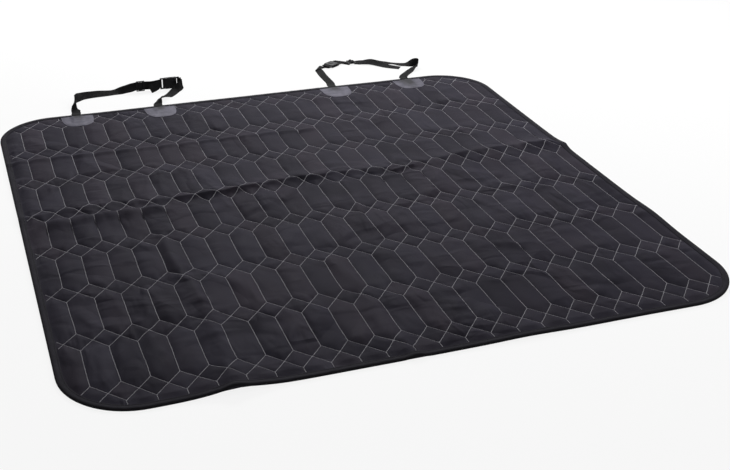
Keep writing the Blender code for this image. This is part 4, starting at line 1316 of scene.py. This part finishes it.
def left_loop(finish):
    """Loop that stands on its edge behind the back edge, buckled near its right end."""
    middle, edge = -LOOP_OFFSET, BACK_EDGE
    outer, inner = middle - PATCH_OFFSET, middle + PATCH_OFFSET
    right, behind, heading, tilt = LEFT_SLIDER
    slide = hardware_frame(middle + right, edge + behind, heading, tilt, SLIDER_WIDTH, SLIDER_THICKNESS)
    clasp = hardware_frame(*CLASPS[0][1:], BUCKLE_WIDTH, BUCKLE_THICKNESS)
    long_way = sewn_end(outer) + lying_along(outer, edge, LEFT_LONG) + slider_pass(slide, (0.0, 0.0), 1)
    long_way += lying_along(middle, edge, LEFT_BEFORE_BUCKLE) + bar_wrap(clasp, BAR / 2, 1)
    long_way += lying_along(middle, edge, LEFT_TAIL)
    short_way = sewn_end(inner) + lying_along(inner, edge, LEFT_SHORT)
    short_way += bar_wrap(clasp, SOCKET_END - BAR / 2, -1, side=-1, slack=SOCKET_SLACK)
    short_way += [held(clasp, SOCKET_END + STUB, -STUB_LIFT)]
    webbing_strap("left_long_webbing", "left_long_strap", long_way, finish)
    webbing_strap("left_short_webbing", "left_short_strap", short_way, finish)


def right_loop(finish):
    """Loop that lies flat behind the back edge, buckled near its left end."""
    middle, edge = LOOP_OFFSET, BACK_EDGE
    inner, outer = middle - PATCH_OFFSET, middle + PATCH_OFFSET
    stack = 2 * (STACK + WEBBING + TOUCH) + SLIDER_THICKNESS
    right, behind, heading, tilt = RIGHT_SLIDER
    slide = hardware_frame(middle + right, edge + behind, heading, tilt, SLIDER_WIDTH, stack)
    clasp = hardware_frame(*CLASPS[1][1:], BUCKLE_WIDTH, BUCKLE_THICKNESS)
    right, behind, heading_in, heading_out = RIGHT_SHORT_CREASE
    short_way = sewn_end(inner) + lying_along(inner, edge, RIGHT_SHORT)
    short_way += creased(inner + right, edge + behind, heading_in, heading_out)
    short_way += bar_wrap(clasp, SOCKET_END - BAR / 2, -1) + [held(clasp, SOCKET_END + STUB, STUB_LIFT)]
    long_way = sewn_end(outer) + lying_along(outer, edge, RIGHT_LONG)
    long_way += slider_pass(slide, (STACK, 0.0), 1) + bar_wrap(clasp, BAR / 2, 1)
    long_way += slider_pass(slide, (0.0, STACK), -1) + lying_along(middle, edge, RIGHT_TAIL)
    webbing_strap("right_short_webbing", "right_short_strap", short_way, finish)
    webbing_strap("right_long_webbing", "right_long_strap", long_way, finish)


# Buckles and sliders

def moulding(name, node, rounding, finish):
    """A plastic part as the frame has it, with rounded edges."""
    bm = bmesh.new()
    bm.from_mesh(frame["nodes"][node].data)
    bmesh.ops.remove_doubles(bm, verts=bm.verts, dist=1e-6)
    bmesh.ops.dissolve_limit(bm, angle_limit=math.radians(1), verts=bm.verts, edges=bm.edges)
    made = bake(name, bm, finish)
    round_edges(made, "rounded edges", rounding, 30, harden=True)
    return place(made, "black plastic", node)


def grip_ribs(name, placed, finish):
    """Low rounded ribs across both faces of a buckle's socket, for the fingers."""
    bm = bmesh.new()
    for side in (-1, 1):
        for index in range(GRIP_RIBS):
            spot = (SOCKET_START + GRIP_START + GRIP_PITCH * index, 0, side * BUCKLE_THICKNESS / 2)
            made = bmesh.ops.create_cube(bm, size=1.0)["verts"]
            bmesh.ops.scale(bm, verts=made, vec=GRIP_RIB)
            bmesh.ops.translate(bm, verts=made, vec=spot)
    bmesh.ops.bevel(bm, geom=bm.edges[:], offset=GRIP_RIB_ROUNDING, segments=2, affect="EDGES",
                    profile=0.5, material=-1)
    bmesh.ops.transform(bm, verts=bm.verts, matrix=placed)
    return place(bake(name, bm, finish), "black plastic")


# Stage

def seen_directly(tree):
    """1 for rays from the camera, and for those in gloss and glass."""
    path = add_node(tree, "ShaderNodeLightPath").outputs
    gloss = math_node(tree, "MAXIMUM", path["Is Glossy Ray"], path["Is Transmission Ray"])
    return math_node(tree, "MAXIMUM", path["Is Camera Ray"], gloss)


def floor_finish():
    """Pale floor that reads as white, and keeps a little of the object's shadow."""
    made, tree, shader = new_finish("pale floor", 0.9)
    cloudy = noise_texture(tree, object_place(tree), 1.5)
    tree.links.new(blend_colours(tree, cloudy, *FLOOR_TONES), shader.inputs["Base Color"])
    white = add_node(tree, "ShaderNodeEmission", {"Color": (1, 1, 1, 1), "Strength": 1.0}).outputs[0]
    share = math_node(tree, "MULTIPLY", seen_directly(tree), FLOOR_WHITE)
    mixed = add_node(tree, "ShaderNodeMixShader", {0: share, 1: shader.outputs[0], 2: white})
    tree.links.new(mixed.outputs[0], tree.nodes["Material Output"].inputs["Surface"])
    return made


def area_light(name, spot, aim, size, power):
    """A large soft lamp that points at a place."""
    lamp = bpy.data.lights.new(name, "AREA")
    lamp.shape, lamp.size, lamp.size_y = "RECTANGLE", *size
    lamp.energy = power
    made = bpy.data.objects.new(name, lamp)
    made.location = spot
    made.rotation_euler = (Vector(aim) - Vector(spot)).to_track_quat("-Z", "Y").to_euler()
    bpy.context.scene.collection.objects.link(made)


def make_world():
    """White surroundings that are seen at full strength and light the room at a share of it."""
    world = bpy.data.worlds.new("studio")
    world.use_nodes = True
    tree = world.node_tree
    sky = tree.nodes["Background"]
    ambient = bpy.context.scene.cover_sizes.ambient
    sky.inputs["Color"].default_value = (1, 1, 1, 1)
    tree.links.new(math_node(tree, "MULTIPLY_ADD", seen_directly(tree), 1.0 - ambient, ambient),
                   sky.inputs["Strength"])
    bpy.context.scene.world = world


def make_camera():
    """Camera at the photograph's angle."""
    camera = bpy.data.cameras.new("camera")
    camera.lens = CAMERA_LENS
    camera.sensor_width = 36.0
    made = bpy.data.objects.new("camera", camera)
    made.location = CAMERA_PLACE
    made.rotation_euler = [math.radians(angle) for angle in CAMERA_TURN]
    bpy.context.scene.collection.objects.link(made)
    bpy.context.scene.camera = made


class CoverSizes(PropertyGroup):
    """Sizes of the cloth and its stitching."""
    puff_height: FloatProperty(name="Puff height", description="How far the padding lifts a hexagon",
                               default=0.0037, min=0.0, max=0.006, unit="LENGTH")
    fold_scale: FloatProperty(name="Packing fold", description="How sharply the packing fold still stands",
                              default=1.0, min=0.0, max=1.5)
    stitch_pitch: FloatProperty(name="Stitch pitch", description="Length of one quilting stitch",
                                default=0.0042, min=0.002, max=0.008, unit="LENGTH")
    thread_width: FloatProperty(name="Thread width", description="Width of the quilting thread",
                                default=0.0014, min=0.0004, max=0.003, unit="LENGTH")
    ambient: FloatProperty(name="Room light", description="Light that comes from all round",
                           default=0.22, min=0.0, max=1.0)


def colour_property(name, description, value):
    """A colour that a user can change."""
    return FloatVectorProperty(name=name, description=description, default=value, min=0.0, max=1.0,
                               size=3, subtype="COLOR")


class CoverColours(PropertyGroup):
    """Colours of the cover's materials."""
    cloth_dark: colour_property("Cloth, dark", "Darker tone of the upper cloth", (0.0235, 0.0218, 0.0292))
    cloth_light: colour_property("Cloth, light", "Lighter tone of the upper cloth", (0.0400, 0.0375, 0.0510))
    cloth_warm: colour_property("Cloth, warm", "Rosier tone in parts of the upper cloth",
                                (0.0420, 0.0360, 0.0465))
    thread: colour_property("Quilting thread", "Pale thread of the quilting", (0.56, 0.55, 0.59))
    dark_thread: colour_property("Binding thread", "Thread of the binding's seam", (0.030, 0.029, 0.034))
    patch_thread: colour_property("Patch thread", "Thread round the patches", (0.15, 0.145, 0.17))
    binding: colour_property("Binding", "Tape round the edge", (0.0330, 0.0312, 0.0385))
    # Painted shade on the binding's rolled outer side and under its flap's end.
    rolled_edge_shade: colour_property("Rolled edge", "Outer edge of the tape", (0.0170, 0.0163, 0.0190))
    backing: colour_property("Backing", "Lower cloth", (0.020, 0.020, 0.022))
    leatherette: colour_property("Leatherette", "Anchor patches", (0.134, 0.128, 0.168))
    # Painted shade that darkens the patches round the strap's entry.
    leatherette_shade: colour_property("Leatherette, dark", "Patches round the strap", (0.019, 0.018, 0.023))
    webbing: colour_property("Webbing", "Straps", (0.0190, 0.0190, 0.0198))
    plastic: colour_property("Plastic", "Buckles and sliders", (0.010, 0.010, 0.011))


class StageOperator(Operator):
    """Make the floor, lamps, world and camera"""
    bl_idname = "cover.stage"
    bl_label = "Stage"

    def execute(self, context):
        bm = bmesh.new()
        bmesh.ops.create_grid(bm, x_segments=1, y_segments=1, size=FLOOR_SIZE)
        floor = bake("floor", bm, floor_finish(), smooth=False)
        make_world()
        make_camera()
        for softbox in SOFTBOXES:
            area_light(*softbox)
        context.scene.view_settings.view_transform = "Standard"
        return {"FINISHED"}


class BackingOperator(Operator):
    """Make the lower cloth"""
    bl_idname = "cover.backing"
    bl_label = "Backing cloth"

    def execute(self, context):
        backing_cloth()
        return {"FINISHED"}


class FaceOperator(Operator):
    """Make the quilted upper cloth"""
    bl_idname = "cover.quilted_face"
    bl_label = "Quilted face"

    def execute(self, context):
        quilted_face()
        return {"FINISHED"}


class QuiltingOperator(Operator):
    """Sew the pale quilting lines"""
    bl_idname = "cover.quilting"
    bl_label = "Quilting thread"

    def execute(self, context):
        hexagon, diamond = tile_corners()
        finish = thread_finish("pale quilting thread", context.scene.cover_colours.thread)
        sewn_lines("quilting_thread_long_lines", [(hexagon[0], hexagon[5])], finish)
        slants = [(diamond[i], diamond[(i + 1) % 4]) for i in range(4)]
        sewn_lines("quilting_thread_diamonds", slants, finish)
        return {"FINISHED"}


class BindingOperator(Operator):
    """Make the binding tape and its seam"""
    bl_idname = "cover.binding"
    bl_label = "Edge binding"

    def execute(self, context):
        edge_binding()
        binding_seam()
        return {"FINISHED"}


class PatchOperator(Operator):
    """Make the four anchor patches and their seams"""
    bl_idname = "cover.patches"
    bl_label = "Anchor patches"

    def execute(self, context):
        finish = leatherette_finish()
        for node, middle, back in PATCHES:
            anchor_patch(node, middle, back, finish)
        patch_seams()
        return {"FINISHED"}


class StrapOperator(Operator):
    """Make the straps of both headrest loops"""
    bl_idname = "cover.straps"
    bl_label = "Straps"

    def execute(self, context):
        finish = webbing_finish()
        left_loop(finish)
        right_loop(finish)
        return {"FINISHED"}


class HardwareOperator(Operator):
    """Make the buckles and sliders"""
    bl_idname = "cover.hardware"
    bl_label = "Buckles and sliders"

    def execute(self, context):
        finish = plastic_finish()
        for side in ("left", "right"):
            for part, rounding in ROUNDINGS:
                moulding(f"{side}_{part}_moulding", f"{side}_{part}", rounding, finish)
        for side, *placing in CLASPS:
            placed = hardware_frame(*placing, BUCKLE_WIDTH, BUCKLE_THICKNESS)
            grip_ribs(f"{side}_buckle_grip_ribs", placed, finish)
        return {"FINISHED"}


OPERATORS = (StageOperator, BackingOperator, FaceOperator, QuiltingOperator, BindingOperator,
             PatchOperator, StrapOperator, HardwareOperator)


class CoverPanel(Panel):
    """Lists the cover's sizes, colours and pieces"""
    bl_idname = "VIEW3D_PT_seat_cover"
    bl_label = "Seat cover"
    bl_space_type = "VIEW_3D"
    bl_region_type = "UI"
    bl_category = "Seat cover"

    def draw(self, context):
        for group in (context.scene.cover_sizes, context.scene.cover_colours):
            for name in group.bl_rna.properties.keys():
                if name not in ("rna_type", "name"):
                    self.layout.prop(group, name)
        for operator in OPERATORS:
            self.layout.operator(operator.bl_idname)


CLASSES = (CoverSizes, CoverColours, *OPERATORS, CoverPanel)


def register():
    """Makes the cover's settings, operators and panel known to Blender."""
    for each in CLASSES:
        bpy.utils.register_class(each)
    bpy.types.Scene.cover_sizes = PointerProperty(type=CoverSizes)
    bpy.types.Scene.cover_colours = PointerProperty(type=CoverColours)


def unregister():
    """Takes them away again."""
    del bpy.types.Scene.cover_colours
    del bpy.types.Scene.cover_sizes
    for each in reversed(CLASSES):
        bpy.utils.unregister_class(each)


def declare_sheets():
    """Gathers the threads and patches that are sewn to the cloth, and does nothing more with them."""
    named = bpy.data.objects
    sewn = [named["quilting_thread_long_lines"], named["quilting_thread_diamonds"], named["patch_seams"]]
    sewn += [named[f"{node}_leatherette"] for node, _, _ in PATCHES]


def main():
    """Builds the scene."""
    register()
    for operator in (bpy.ops.cover.stage, bpy.ops.cover.backing, bpy.ops.cover.quilted_face,
                     bpy.ops.cover.quilting, bpy.ops.cover.binding, bpy.ops.cover.patches,
                     bpy.ops.cover.straps, bpy.ops.cover.hardware):
        operator()
    declare_sheets()


if __name__ == "__main__":
    main()
